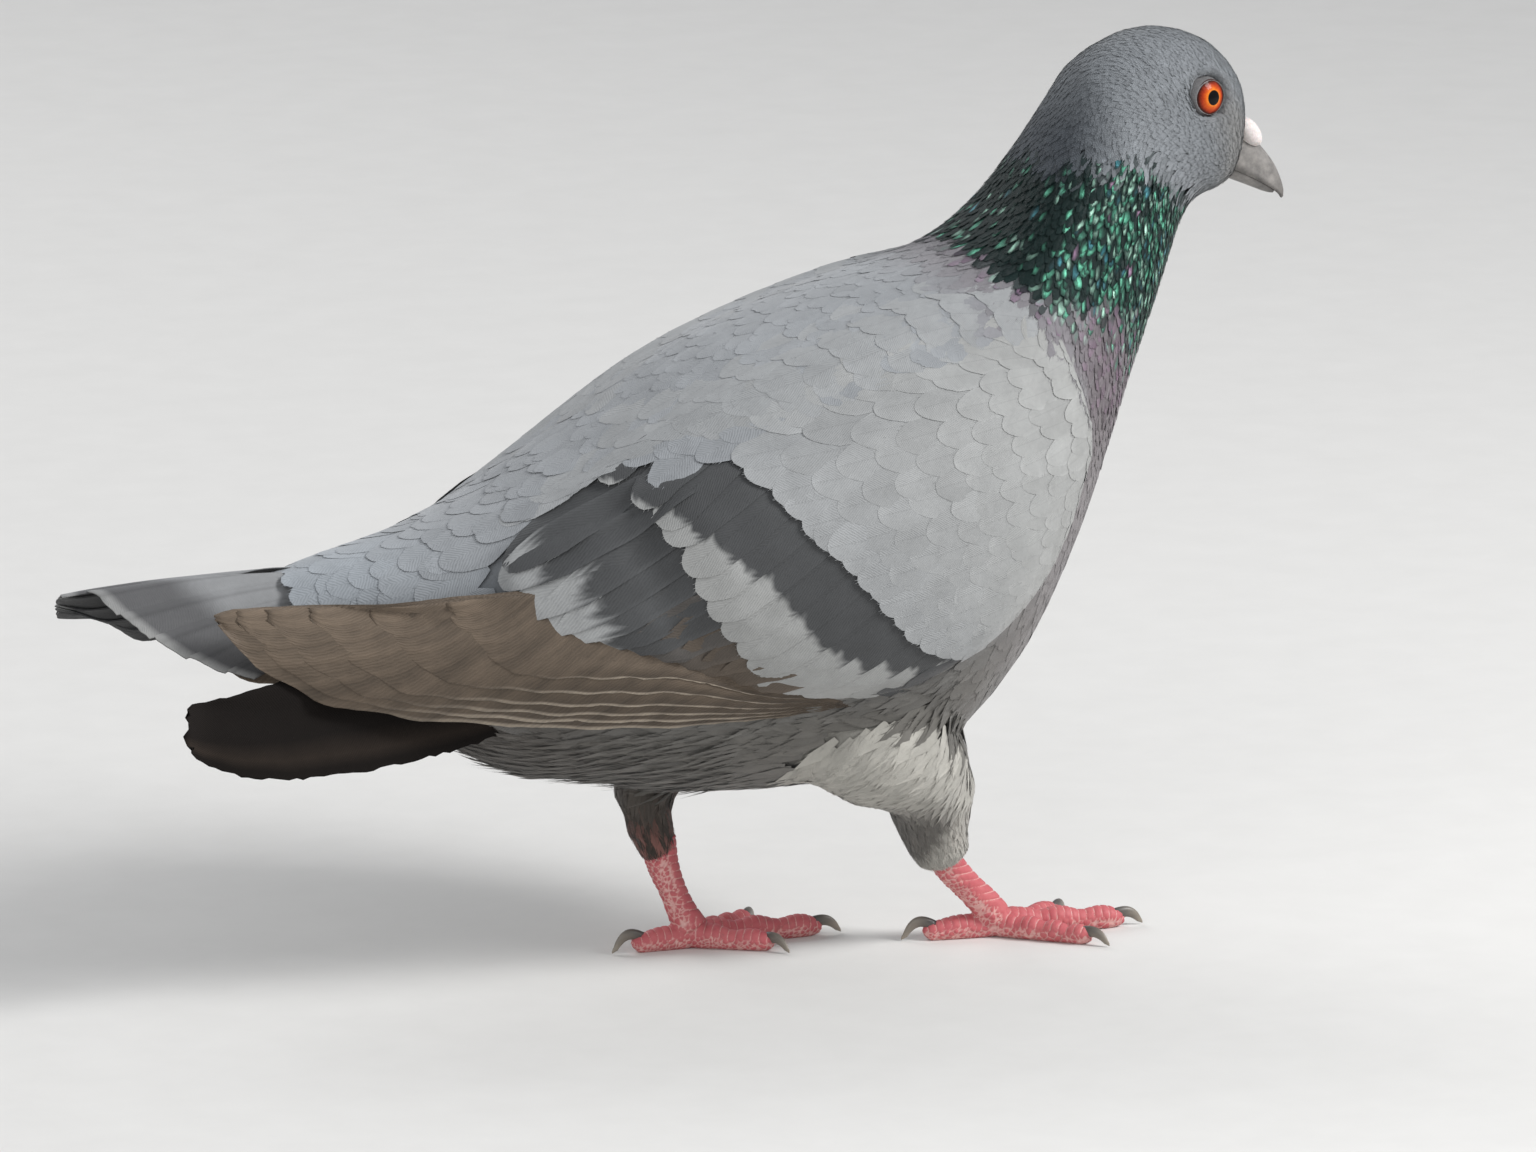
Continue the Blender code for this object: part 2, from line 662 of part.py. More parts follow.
def make_claw(name, start, finish, toe_radius, horn):
    """A claw is a curved cone that leaves the toe's end and comes down to the floor."""
    away = finish - start
    away[2] = 0
    away /= np.linalg.norm(away)
    line = []
    for share, height, radius in CLAW_SHAPE:
        centre = finish + away * (CLAW_GAP + CLAW_LENGTH * share)
        centre[2] = max(toe_radius * height, CLAW_RADIUS * radius + CLAW_LIFT)
        line.append((centre, CLAW_RADIUS * radius))
    tube("claw_" + name, line, 6, 4, horn, CLAW_SIDE_SHARE)


def make_legs(grey, pink, horn, guide_trunk):
    """Each leg is a feathered thigh, a bare shank and a foot."""
    for word, thigh_line, shank_line, ball in (
        ("right", THIGH_RIGHT, SHANK_RIGHT, BALL_RIGHT),
        ("left", THIGH_LEFT, SHANK_LEFT, BALL_LEFT),
    ):
        thigh = tube("thigh_" + word, thigh_line, 14, 9, grey)
        cut(thigh, guide_trunk)
        shank = tube("shank_" + word, shank_line, 10, 3, pink, SHANK_SIDE_SHARE)
        foot = make_foot(word, ball, pink, horn)
        room = [radius + CUT_GAP for radius in BALL_RADII]
        cut(shank, ellipsoid("guide_ball_" + word, ball, room, pink, 12, 6))
        foot.parent = shank
        shank.parent = thigh


def centre_model():
    """Moves the model so that the origin is at the bottom centre of its box."""
    bpy.context.view_layer.update()
    graph = bpy.context.evaluated_depsgraph_get()
    corners = []
    for made in bpy.context.scene.objects:
        if not made.hide_render:
            shape = made.evaluated_get(graph)
            corners += [shape.matrix_world @ vertex.co for vertex in shape.data.vertices]
    low = [min(corner[axis] for corner in corners) for axis in range(3)]
    high = [max(corner[axis] for corner in corners) for axis in range(3)]
    shift = Vector((-(low[0] + high[0]) / 2, -(low[1] + high[1]) / 2, -low[2]))
    for made in bpy.context.scene.objects:
        if made.parent is None:
            made.location += shift
    print("moved by", [round(value / MM, 2) for value in shift])
    print("size", [round((b - a) / MM, 1) for a, b in zip(low, high)])


def main():
    clear_scene()
    slate = material("slate_feathers", (0.13, 0.15, 0.18), 0.7)
    green = material("neck_feathers", (0.04, 0.12, 0.09), 0.45)
    grey = material("grey_feathers", (0.25, 0.26, 0.28), 0.75)
    pale = material("pale_feathers", (0.38, 0.4, 0.43), 0.75)
    bar = material("bar_feathers", (0.06, 0.065, 0.075), 0.7)
    brown = material("flight_feathers", (0.16, 0.13, 0.11), 0.7)
    pink = material("leg_skin", (0.5, 0.14, 0.12), 0.6)
    horn = material("horn", (0.09, 0.09, 0.1), 0.35)
    white = material("cere_white", (0.8, 0.78, 0.74), 0.6)

    body_part("trunk", *TRUNK_ENDS, TRUNK_RINGS, AROUND_TRUNK, grey)
    body_part("neck", NECK_START, HEAD_START, NECK_RINGS, AROUND_NECK, green)
    make_head(slate)
    make_bill(horn, white)

    back = rump("rump", RUMP_RINGS, AROUND_NECK, grey)
    for side, word in ((RIGHT, "right"), (LEFT, "left")):
        tail_slab("tail_" + word, side, FEATHERS_A_SIDE * 4, 4, 1.0, 0.0, grey)
        cut(back, tail_slab("guide_tail_" + word, side, 6, 3, 0.75, CUT_GAP, grey))
        make_wing(side, bar, pale, brown)
    low_feather("tail_feather_low", 9, 4, bar)

    around = (TRUNK_RINGS, AROUND_TRUNK)
    make_legs(grey, pink, horn, body_part("guide_trunk", *TRUNK_ENDS, *around, grey, SKIN_GAP))
    centre_model()


main()
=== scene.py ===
"""A life-size feral pigeon in mid-stride: its skin, plumage, legs, bill and eyes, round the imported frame.

Small measures are millimetres, and become metres where a mesh is made.
The bird faces +X, its left side is +Y, and the floor is Z = 0.
"""

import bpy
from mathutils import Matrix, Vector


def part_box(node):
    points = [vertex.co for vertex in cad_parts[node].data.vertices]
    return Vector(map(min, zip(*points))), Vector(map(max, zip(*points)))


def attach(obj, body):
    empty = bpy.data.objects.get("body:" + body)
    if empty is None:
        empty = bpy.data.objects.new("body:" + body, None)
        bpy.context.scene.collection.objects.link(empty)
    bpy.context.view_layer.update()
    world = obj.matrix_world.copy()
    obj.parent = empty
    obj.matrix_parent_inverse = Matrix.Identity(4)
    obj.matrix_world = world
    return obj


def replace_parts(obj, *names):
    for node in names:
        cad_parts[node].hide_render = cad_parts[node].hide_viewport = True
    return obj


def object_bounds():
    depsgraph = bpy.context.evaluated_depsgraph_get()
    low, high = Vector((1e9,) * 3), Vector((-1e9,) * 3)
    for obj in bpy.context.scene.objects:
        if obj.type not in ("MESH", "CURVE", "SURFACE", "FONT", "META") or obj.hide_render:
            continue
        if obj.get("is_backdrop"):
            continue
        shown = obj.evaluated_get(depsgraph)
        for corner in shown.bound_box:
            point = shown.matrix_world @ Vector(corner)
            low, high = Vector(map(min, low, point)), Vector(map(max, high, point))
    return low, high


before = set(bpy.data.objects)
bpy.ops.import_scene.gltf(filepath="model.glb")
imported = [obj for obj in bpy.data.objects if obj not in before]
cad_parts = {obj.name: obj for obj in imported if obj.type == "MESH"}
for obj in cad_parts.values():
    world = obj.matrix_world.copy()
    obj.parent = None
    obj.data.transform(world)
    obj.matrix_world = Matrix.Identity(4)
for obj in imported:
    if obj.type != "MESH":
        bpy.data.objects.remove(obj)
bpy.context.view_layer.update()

import math

import bmesh
import bpy
import numpy as np
from mathutils import Vector
from mathutils.bvhtree import BVHTree
from mathutils.kdtree import KDTree

bl_info = {
    "name": "Feral Pigeon",
    "version": (1, 0, 0),
    "blender": (4, 5, 0),
    "location": "3D View > Sidebar > Pigeon",
    "description": "Builds the skin, plumage, legs, bill and eyes of a walking feral pigeon",
    "category": "Object",
}

MM = 0.001
RIGHT, LEFT = -1, 1
SIDE_WORDS = {RIGHT: "right", LEFT: "left"}

# The body's section lines, from the tail end to the bill: top (x, z), bottom (x, z), half width.
# Their x is measured from the body's own zero, which lies this far ahead of the row's origin.
BODY_ZERO = 31.19
FIRST_STATION = -4
STATIONS = (
    (-160, 101, -152, 74, 21), (-146, 103, -136, 62, 24.5), (-132, 105, -121, 56, 26.5),
    (-118, 107, -108, 53, 28), (-104, 109.5, -95, 52, 29.5), (-88, 114, -82, 50, 32),
    (-62, 127.5, -60, 47, 37.5), (-30, 147, -34, 42, 43), (0, 158.5, -2, 41, 45.5),
    (24, 165, 26, 45, 45), (36.5, 168.5, 46, 62, 43), (43, 172, 59.5, 84, 39.5),
    (48.5, 177, 70.5, 108, 34.5), (53.5, 183.5, 80, 132, 28.5), (58.5, 191, 89, 154, 24.5),
    (64.5, 200.5, 95, 169.5, 21), (71.5, 211, 100, 176, 17.6), (87, 217.9, 105.3, 177.5, 15.6),
    (102, 214.8, 108.5, 179.4, 13.4), (110.5, 205.8, 109.4, 180.4, 9.4),
    (112.6, 196.3, 109.2, 181.2, 5.4),
)
STATION_STEPS = 20

# Colours as linear red, green and blue. The panel offers the first six.
SLATE = (0.225, 0.24, 0.255)
# The neck's brightest glint colour: painted reflection
MINT_GLINT = (0.12, 0.43, 0.285)
ASH = (0.285, 0.298, 0.312)
BAR = (0.062, 0.064, 0.066)
BROWN = (0.122, 0.092, 0.066)
TAIL_GREY = (0.27, 0.275, 0.28)
FACE_GREY = (0.235, 0.235, 0.232)
# The back of the head and upper neck: their own dark grey, deepened with painted shade
NAPE = (0.060, 0.070, 0.082)
GREEN_DARK = (0.010, 0.021, 0.020)
# More glint colours of the neck, and its violet sheen: painted reflection
PALE_MINT_GLINT = (0.34, 0.58, 0.46)
TEAL_LIT = (0.06, 0.22, 0.26)
VIOLET_SHEEN = (0.28, 0.17, 0.26)
PURPLE = (0.165, 0.142, 0.156)
MAUVE = (0.200, 0.184, 0.188)
ASH_PALE = (0.335, 0.337, 0.328)
RUMP_PALE = (0.32, 0.345, 0.37)
# The belly's grey, darkened with painted shade, and the vent, darker still with painted shade
BELLY_SHADED = (0.135, 0.128, 0.115)
VENT_SHADED = (0.10, 0.09, 0.08)
BROWN_EDGE = (0.40, 0.34, 0.27)
TAIL_BAND = (0.105, 0.105, 0.108)
TAIL_FRINGE = (0.42, 0.42, 0.41)
# The low tail feather and its shaft: near black, painted shade
LOW_SHADED = (0.012, 0.010, 0.009)
LOW_SHADED_SHAFT = (0.045, 0.034, 0.027)
BELL_WHITE = (0.43, 0.415, 0.375)
# Painted shade: on the back of the forward thigh's bell, and over the whole rear thigh
BELL_SHADE = (0.13, 0.122, 0.11)
REAR_THIGH_DEEP_SHADE = (0.05, 0.040, 0.033)
REAR_THIGH_SHADE = (0.13, 0.115, 0.10)
THIGH_PINK = (0.30, 0.13, 0.11)


def chosen(name):
    """One of the colours that the panel offers, as it is set there."""
    return np.array(getattr(bpy.context.scene.pigeon_colours, name))


def unit(v):
    return v / np.maximum(np.linalg.norm(v, axis=-1, keepdims=True), 1e-12)


def smooth(low, high, x):
    """A smooth step from 0 to 1 between two values, which may run downward."""
    t = np.clip((x - low) / (high - low), 0.0, 1.0)
    return t * t * (3 - 2 * t)


def blend(a, b, share):
    """Colours between a and b, by a share for each point."""
    share = np.asarray(share)[..., None]
    return np.asarray(a) * (1 - share) + np.asarray(b) * share


def flat_on(vectors, normals):
    """Vectors of unit length that lie square to the normals."""
    return unit(vectors - normals * (vectors * normals).sum(-1, keepdims=True))


def swayed(rng, flows, normals, spread):
    """Flows turned a little aside, each by chance."""
    return unit(flows + np.cross(normals, flows) * rng.normal(0, spread, (len(flows), 1)))


def grid_quads(rows, columns):
    """The faces of a grid of points, row after row."""
    a = (np.arange(rows)[:, None] * (columns + 1) + np.arange(columns)).ravel()
    return np.stack([a, a + 1, a + columns + 2, a + columns + 1], axis=1)


def ring_quads(rows, count):
    """The faces between closed rings of points, ring after ring."""
    row, k = np.meshgrid(np.arange(rows - 1), np.arange(count), indexing="ij")
    after = (k + 1) % count
    return np.stack([row * count + k, row * count + after, (row + 1) * count + after, (row + 1) * count + k],
                    axis=2).reshape(-1, 4)


def ring_caps(rows, count):
    """The faces that close the first and last ring, round two middle points that come after the rings."""
    k = np.arange(count)
    after, last = (k + 1) % count, (rows - 1) * count
    return np.concatenate([
        np.stack([after, k, np.full(count, rows * count)], axis=1),
        np.stack([last + k, last + after, np.full(count, rows * count + 1)], axis=1),
    ])


def round_angles(count):
    return np.linspace(0, 2 * math.pi, count, endpoint=False)


def seeded(seed):
    return np.random.default_rng(seed)


def kd_tree(points):
    tree = KDTree(len(points))
    for i, point in enumerate(points):
        tree.insert(point, i)
    tree.balance()
    return tree


def catmull(rows, steps):
    """A dense table of a smooth curve through rows of numbers."""
    rows = np.asarray(rows, float)
    padded = np.vstack([2 * rows[0] - rows[1], rows, 2 * rows[-1] - rows[-2]])
    out = []
    for i in range(len(rows) - 1):
        p, a, b, q = padded[i : i + 4]
        for t in np.arange(steps) / steps:
            out.append(0.5 * (
                2 * a + (b - p) * t + (2 * p - 5 * a + 4 * b - q) * t**2
                + (3 * a - p - 3 * b + q) * t**3
            ))
    out.append(rows[-1])
    return np.array(out)


TABLE = catmull(STATIONS, STATION_STEPS) + np.array((BODY_ZERO, 0, BODY_ZERO, 0, 0))
PLACES = FIRST_STATION + np.arange(len(TABLE)) / STATION_STEPS
SLOPES = np.gradient(TABLE, axis=0)


def body_place(points):
    """The station, the angle from the back and the depth share of points in metres."""
    x, z = points[:, 0] / MM, points[:, 2] / MM
    down_x, down_z = TABLE[:, 2] - TABLE[:, 0], TABLE[:, 3] - TABLE[:, 1]
    ahead = down_x * (z[:, None] - TABLE[:, 1]) - down_z * (x[:, None] - TABLE[:, 0]) > 0
    row = np.clip(ahead.sum(1), 0, len(TABLE) - 1)
    section = TABLE[row]
    down = section[:, 2:4] - section[:, 0:2]
    depth = np.linalg.norm(down, axis=1)
    rel = np.stack([x - section[:, 0], z - section[:, 1]], axis=1)
    fall = (rel * down).sum(1) / depth**2
    angle = np.arctan2(points[:, 1] / MM / section[:, 4], 1 - 2 * fall)
    return PLACES[row], angle, np.clip(fall, 0, 1), row


def place_and_fall(points):
    """The station and the depth share of points in metres."""
    place, _angle, fall, _row = body_place(points)
    return place, fall


def tail_ward(points, normals):
    """The lie of the plumage: toward the tail on the body, and away from the bill on the head."""
    place, angle, fall, row = body_place(points)
    slope = SLOPES[row]
    flow = np.empty_like(points)
    flow[:, 0] = -(slope[:, 0] * (1 - fall) + slope[:, 2] * fall)
    flow[:, 1] = -slope[:, 4] * np.sin(angle) * 0.5
    flow[:, 2] = -(slope[:, 1] * (1 - fall) + slope[:, 3] * fall)
    from_bill = unit(points - BILL_BASE)
    share = smooth(11.4, 12.8, place)[:, None]
    return flat_on(unit(flow) * (1 - share) + from_bill * share, normals)


# The unwrap of the body that the baked colours use: its margin, length and width, and a feather's patch
BAKE_MARGIN, BAKE_LENGTH, BAKE_WIDTH = 0.03, 0.94, 0.78
BAKE_PATCH = 0.003


def bake_patches(roots, tufts):
    """A small patch for each feather, where its root falls on an unwrap of the body."""
    place, angle, _fall, _row = body_place(roots)
    along = (place - FIRST_STATION) / (PLACES[-1] - FIRST_STATION)
    spots = np.stack([BAKE_MARGIN + BAKE_LENGTH * along,
                      BAKE_MARGIN + BAKE_WIDTH * (angle / (2 * math.pi) + 0.5)], axis=1)
    return spots[:, None, :] + (tufts - 0.5) * BAKE_PATCH


# ---- meshes

def linked(name, data):
    """A new object in the scene."""
    made = bpy.data.objects.new(name, data)
    bpy.context.scene.collection.objects.link(made)
    return made


def new_piece(name, mesh, finish):
    """Links a piece to the scene with its finish."""
    made = linked(name, mesh)
    mesh.materials.append(finish_of(finish))
    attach(made, "root")
    return made


def array_mesh(name, points, faces, uvs=None, colours=None):
    """A mesh from arrays. The faces are a list of arrays, one for each number of corners."""
    mesh = bpy.data.meshes.new(name)
    mesh.vertices.add(len(points))
    mesh.vertices.foreach_set("co", np.ascontiguousarray(points, np.float32).ravel())
    loops = np.concatenate([f.ravel() for f in faces]).astype(np.int32)
    totals = np.concatenate([np.full(len(f), f.shape[1]) for f in faces]).astype(np.int32)
    mesh.loops.add(len(loops))
    mesh.loops.foreach_set("vertex_index", loops)
    mesh.polygons.add(len(totals))
    mesh.polygons.foreach_set("loop_start", (np.cumsum(totals) - totals).astype(np.int32))
    mesh.polygons.foreach_set("loop_total", totals)
    mesh.update(calc_edges=True)
    for layer_name, places in (uvs or {}).items():
        layer = mesh.uv_layers.new(name=layer_name)
        layer.data.foreach_set("uv", places[loops].astype(np.float32).ravel())
    if colours is not None:
        rgba = np.ones((len(points), 4), np.float32)
        rgba[:, :3] = colours
        layer = mesh.color_attributes.new("plumage", "FLOAT_COLOR", "POINT")
        layer.data.foreach_set("color", rgba.ravel())
    mesh.validate()
    mesh.shade_smooth()
    return mesh


def give_values(mesh, name, values):
    """Stores a number at each point, for the finish to read."""
    mesh.attributes.new(name, "FLOAT", "POINT").data.foreach_set("value", values.astype(np.float32))


def triples(items, key, kind=float):
    """One property of a mesh's elements, as rows of three numbers."""
    values = np.empty(len(items) * 3, kind)
    items.foreach_get(key, values)
    return values.reshape(-1, 3)


def evaluated(obj):
    """An object's mesh with its modifiers applied."""
    return obj.evaluated_get(bpy.context.evaluated_depsgraph_get()).to_mesh()


def node_arrays(*names, grow=0.0):
    """Points and triangles of some CAD nodes together, each grown a little if neighbours must meet."""
    points, faces, count = [], [], 0
    for name in names:
        mesh = evaluated(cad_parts[name])
        mesh.calc_loop_triangles()
        p, f = triples(mesh.vertices, "co"), triples(mesh.loop_triangles, "vertices", np.int32)
        _, first, index = np.unique(np.round(p, 6), axis=0, return_index=True, return_inverse=True)
        p, f = p[first], index.reshape(-1)[f]
        if grow:
            flat = np.cross(p[f[:, 1]] - p[f[:, 0]], p[f[:, 2]] - p[f[:, 0]])
            normal = np.zeros_like(p)
            for corner in range(3):
                np.add.at(normal, f[:, corner], flat)
            p = p + unit(normal) * grow * MM
        points.append(p)
        faces.append(f + count)
        count += len(p)
    return np.vstack(points), np.vstack(faces)


def remeshed(name, points, faces, voxel, smoothing):
    """One closed, even mesh round some solids. Returns its points, quads and normals."""
    mesh = array_mesh(name, points, [faces])
    made = linked(name, mesh)
    remesh = made.modifiers.new("remesh", "REMESH")
    remesh.mode = "VOXEL"
    remesh.voxel_size = voxel
    relax = made.modifiers.new("relax", "SMOOTH")
    relax.iterations = smoothing
    relax.factor = 0.5
    shown = evaluated(made)
    got, normals = triples(shown.vertices, "co"), triples(shown.vertices, "normal")
    quads = np.array([tuple(p.vertices) for p in shown.polygons if len(p.vertices) == 4], np.int32)
    bpy.data.objects.remove(made)
    bpy.data.meshes.remove(mesh)
    return largest_part(got, quads, normals)


def largest_part(points, quads, normals):
    """Drops all but the largest connected part, such as walls shut up inside."""
    label = np.arange(len(points))
    while True:
        low = label[quads].min(1)
        before = label.copy()
        for corner in range(quads.shape[1]):
            np.minimum.at(label, quads[:, corner], low)
        label = label[label]
        if (label == before).all():
            break
    names, counts = np.unique(label, return_counts=True)
    keep = label == names[np.argmax(counts)]
    index = np.cumsum(keep) - 1
    kept = quads[keep[quads[:, 0]]]
    return points[keep], index[kept], normals[keep]


# How far each inward round moves a point toward the mean of its neighbours
INWARD = 0.6


def relaxed(points, quads, share, rounds, outward=0.61):
    """Evens out a mesh where its share is high. The outward rounds keep it from shrinking."""
    ends = np.concatenate([quads[:, [0, 1]], quads[:, [1, 2]], quads[:, [2, 3]], quads[:, [3, 0]]])
    ends = np.concatenate([ends, ends[:, ::-1]])
    degree = np.bincount(ends[:, 0], minlength=len(points))[:, None]
    for k in range(rounds * 2):
        total = np.stack([
            np.bincount(ends[:, 0], points[ends[:, 1], axis], len(points)) for axis in range(3)
        ], axis=1)
        points = points + (total / degree - points) * share[:, None] * (INWARD if k % 2 == 0 else -outward)
    return points


def point_normals(points, quads):
    """Smooth normals at a mesh's points."""
    a, b, c, d = (points[quads[:, k]] for k in range(4))
    flat = np.cross(c - a, d - b)
    total = np.stack([
        sum(np.bincount(quads[:, k], flat[:, axis], len(points)) for k in range(4)) for axis in range(3)
    ], axis=1)
    return unit(total)


# How far out a ray toward the bird starts, and how far out a wing lies, in metres
RAY_START = 0.12
WING_OUT = 0.035


class Surface:
    """A surface that plumage is laid on."""

    def __init__(self, points, faces, vertex_normals=None):
        self.points, self.faces = points, faces
        rings = [list(dict.fromkeys(face)) for face in faces.tolist()]
        self.tree = BVHTree.FromPolygons(points.tolist(), rings)
        self.normals = vertex_normals

    def _normal(self, index, hit, flat):
        if self.normals is None:
            return flat
        corners = self.faces[index]
        near = 1 / (np.linalg.norm(self.points[corners] - np.array(hit), axis=1) + 1e-6)
        found = (self.normals[corners] * near[:, None]).sum(0)
        return found / (np.linalg.norm(found) + 1e-12)

    def nearest(self, spots):
        places, normals = np.empty_like(spots), np.empty_like(spots)
        for i, spot in enumerate(spots):
            hit, normal, index, _far = self.tree.find_nearest(spot)
            places[i] = hit
            normals[i] = self._normal(index, hit, normal)
        return places, normals

    def from_right(self, flat, over=False):
        """The surface met from the right, at points of the side view in millimetres from the body's zero.

        With over, the points near the back are met from above, square to the body's round.
        """
        x, z = np.asarray(flat, float).T
        spots = np.stack([x + BODY_ZERO, np.zeros(x.size), z], axis=1) * MM
        ways = np.tile((0.0, float(RIGHT), 0.0), (x.size, 1))
        if over:
            _place, _angle, fall, row = body_place(spots)
            turn = np.arccos(1 - 2 * fall)
            spots[:, 1] = RIGHT * TABLE[row, 4] * np.sin(turn) * MM
            turn += (math.pi / 2 - turn) * smooth(0.05, 0.30, fall)
            ways = np.stack([np.zeros(x.size), RIGHT * np.sin(turn), np.cos(turn)], axis=1)
        places, normals = np.empty((x.size, 3)), np.empty((x.size, 3))
        for i, (spot, way) in enumerate(zip(spots, ways)):
            hit, normal, index, _far = self.tree.ray_cast(spot + way * RAY_START, -way)
            if hit is None:
                aim = (spot[0], RIGHT * WING_OUT, spot[2])
                hit, normal, index, _far = self.tree.find_nearest(aim)
            places[i] = hit
            normals[i] = self._normal(index, hit, normal)
        return places, normals


class Body:
    """The smooth outer form of the body, made once and used by every piece of plumage."""

    parts = (
        "head", "neck", "trunk", "rump", "thigh_left", "thigh_right", "scapulars_left", "scapulars_right",
        "wing_coverts_left", "wing_coverts_right", "secondaries_left", "secondaries_right",
    )
    form = None

    @classmethod
    def get(cls):
        if cls.form is None:
            points, quads, _place = cls._moulded("form", cls.parts, grow=0.35, voxel=1.3)
            cls.form = Surface(points, quads, point_normals(points, quads))
            cls.back = cls._with_tail()
            nodes = {name: node_arrays(name) for name in cls.parts}
            cls.trees = {
                name: BVHTree.FromPolygons(p.tolist(), f.tolist()) for name, (p, f) in nodes.items()
            }
        return cls.form

    @staticmethod
    def _moulded(name, parts, grow, voxel, inset=0.0):
        """One even mesh round some nodes, with the seams along the back smoothed out."""
        points, quads, normals = remeshed(name, *node_arrays(*parts, grow=grow), voxel * MM, 4)
        place, fall = place_and_fall(points)
        soft = smooth(0.58, 0.36, fall) * smooth(9.5, 8.0, place) * 0.95 + 0.05
        points = relaxed(points - normals * inset * MM, quads, soft, 40)
        now, fall = place_and_fall(points)
        mantle = smooth(0.30, 0.14, fall) * smooth(9.5, 8.0, now) * smooth(-0.5, 1.0, now)
        return relaxed(points, quads, mantle, 25, outward=0.3), quads, place

    @classmethod
    def _with_tail(cls):
        """The form with the tail on it, and the step between them filled."""
        parts = (*cls.parts, "tail_left", "tail_right")
        points, quads, place = cls._moulded("back_form", parts, grow=0.5, voxel=1.5, inset=0.15)
        step = smooth(-2.4, -1.5, place) * smooth(0.9, -0.1, place)
        points = relaxed(points, quads, step, 130, outward=0.0)
        return Surface(points, quads, point_normals(points, quads))

    @classmethod
    def part_at(cls, spots):
        """The name of the CAD node that lies nearest to each point."""
        return np.array([
            min(cls.parts, key=lambda name: cls.trees[name].find_nearest(spot)[3]) for spot in spots
        ])


def scatter(rng, surface, wanted, spacing_of, tries):
    """Points spread over part of a surface, no closer to each other than the spacing there."""
    points, faces = surface.points, surface.faces
    corner = points[faces]
    area = np.linalg.norm(np.cross(corner[:, 2] - corner[:, 0], corner[:, 3] - corner[:, 1]), axis=1) / 2
    centre = corner.mean(1)
    spacing = spacing_of(centre)
    weight = area * wanted(centre) / spacing**2
    weight /= weight.sum()
    picked = rng.choice(len(faces), tries, p=weight)
    a, b = rng.random((2, tries, 1))
    quad = corner[picked]
    spots = (quad[:, 0] * (1 - a) + quad[:, 1] * a) * (1 - b) + (quad[:, 3] * (1 - a) + quad[:, 2] * a) * b
    normals = unit(surface.normals[faces[picked]].mean(1))
    gap = spacing_of(spots)
    tree = kd_tree(spots)
    open_spot = np.ones(tries, bool)
    kept = []
    for i in range(tries):
        if open_spot[i]:
            kept.append(i)
            for _spot, other, _far in tree.find_range(spots[i], gap[i]):
                open_spot[other] = False
    return spots[kept], normals[kept]


# ---- feathers

# How far along a feather it is widest
WIDEST = 0.55


class Vane:
    """The pattern of one kind of feather: a grid of points, with loose barbs at its tip.

    The lift is the height of its root and its tip over the surface, and the tilt is that of one edge over
    its shaft. A vane that hugs follows the surface across its width as well as along it.
    """

    def __init__(self, rows, columns, tip_round, waist, crown, lift, rag, barbs, barb_length, wobble,
                 tilt=0.0, point=2.2, tuck=0.0, hug=False):
        self.rows, self.columns, self.wobble, self.tuck, self.hug = rows, columns, wobble, tuck, hug
        self.crown, self.lift, self.rag, self.tilt = crown, lift, rag, tilt
        self.barbs, self.barb_length = barbs, barb_length
        u, v = np.meshgrid(np.linspace(-1, 1, columns + 1), np.linspace(0, 1, rows + 1))
        self.v_real = v * (1 - tip_round * np.abs(u) ** point)
        self.u, self.v = u, v
        near = np.clip(self.v_real / WIDEST, 0, 1)
        self.wide = waist + (1 - waist) * np.sin(near * math.pi / 2)
        self.wide = self.wide * np.where(self.v_real > WIDEST, 1 - 0.12 * (self.v_real - WIDEST), 1)
        self.quads = grid_quads(rows, columns)
        self.count = u.size


# A loose barb: how far back its root lies and its half width in millimetres, and its three points' light
BARB_ROOT = 0.5
BARB_HALF = 0.10
BARB_SHADES = (1.0, 1.0, 1.12)


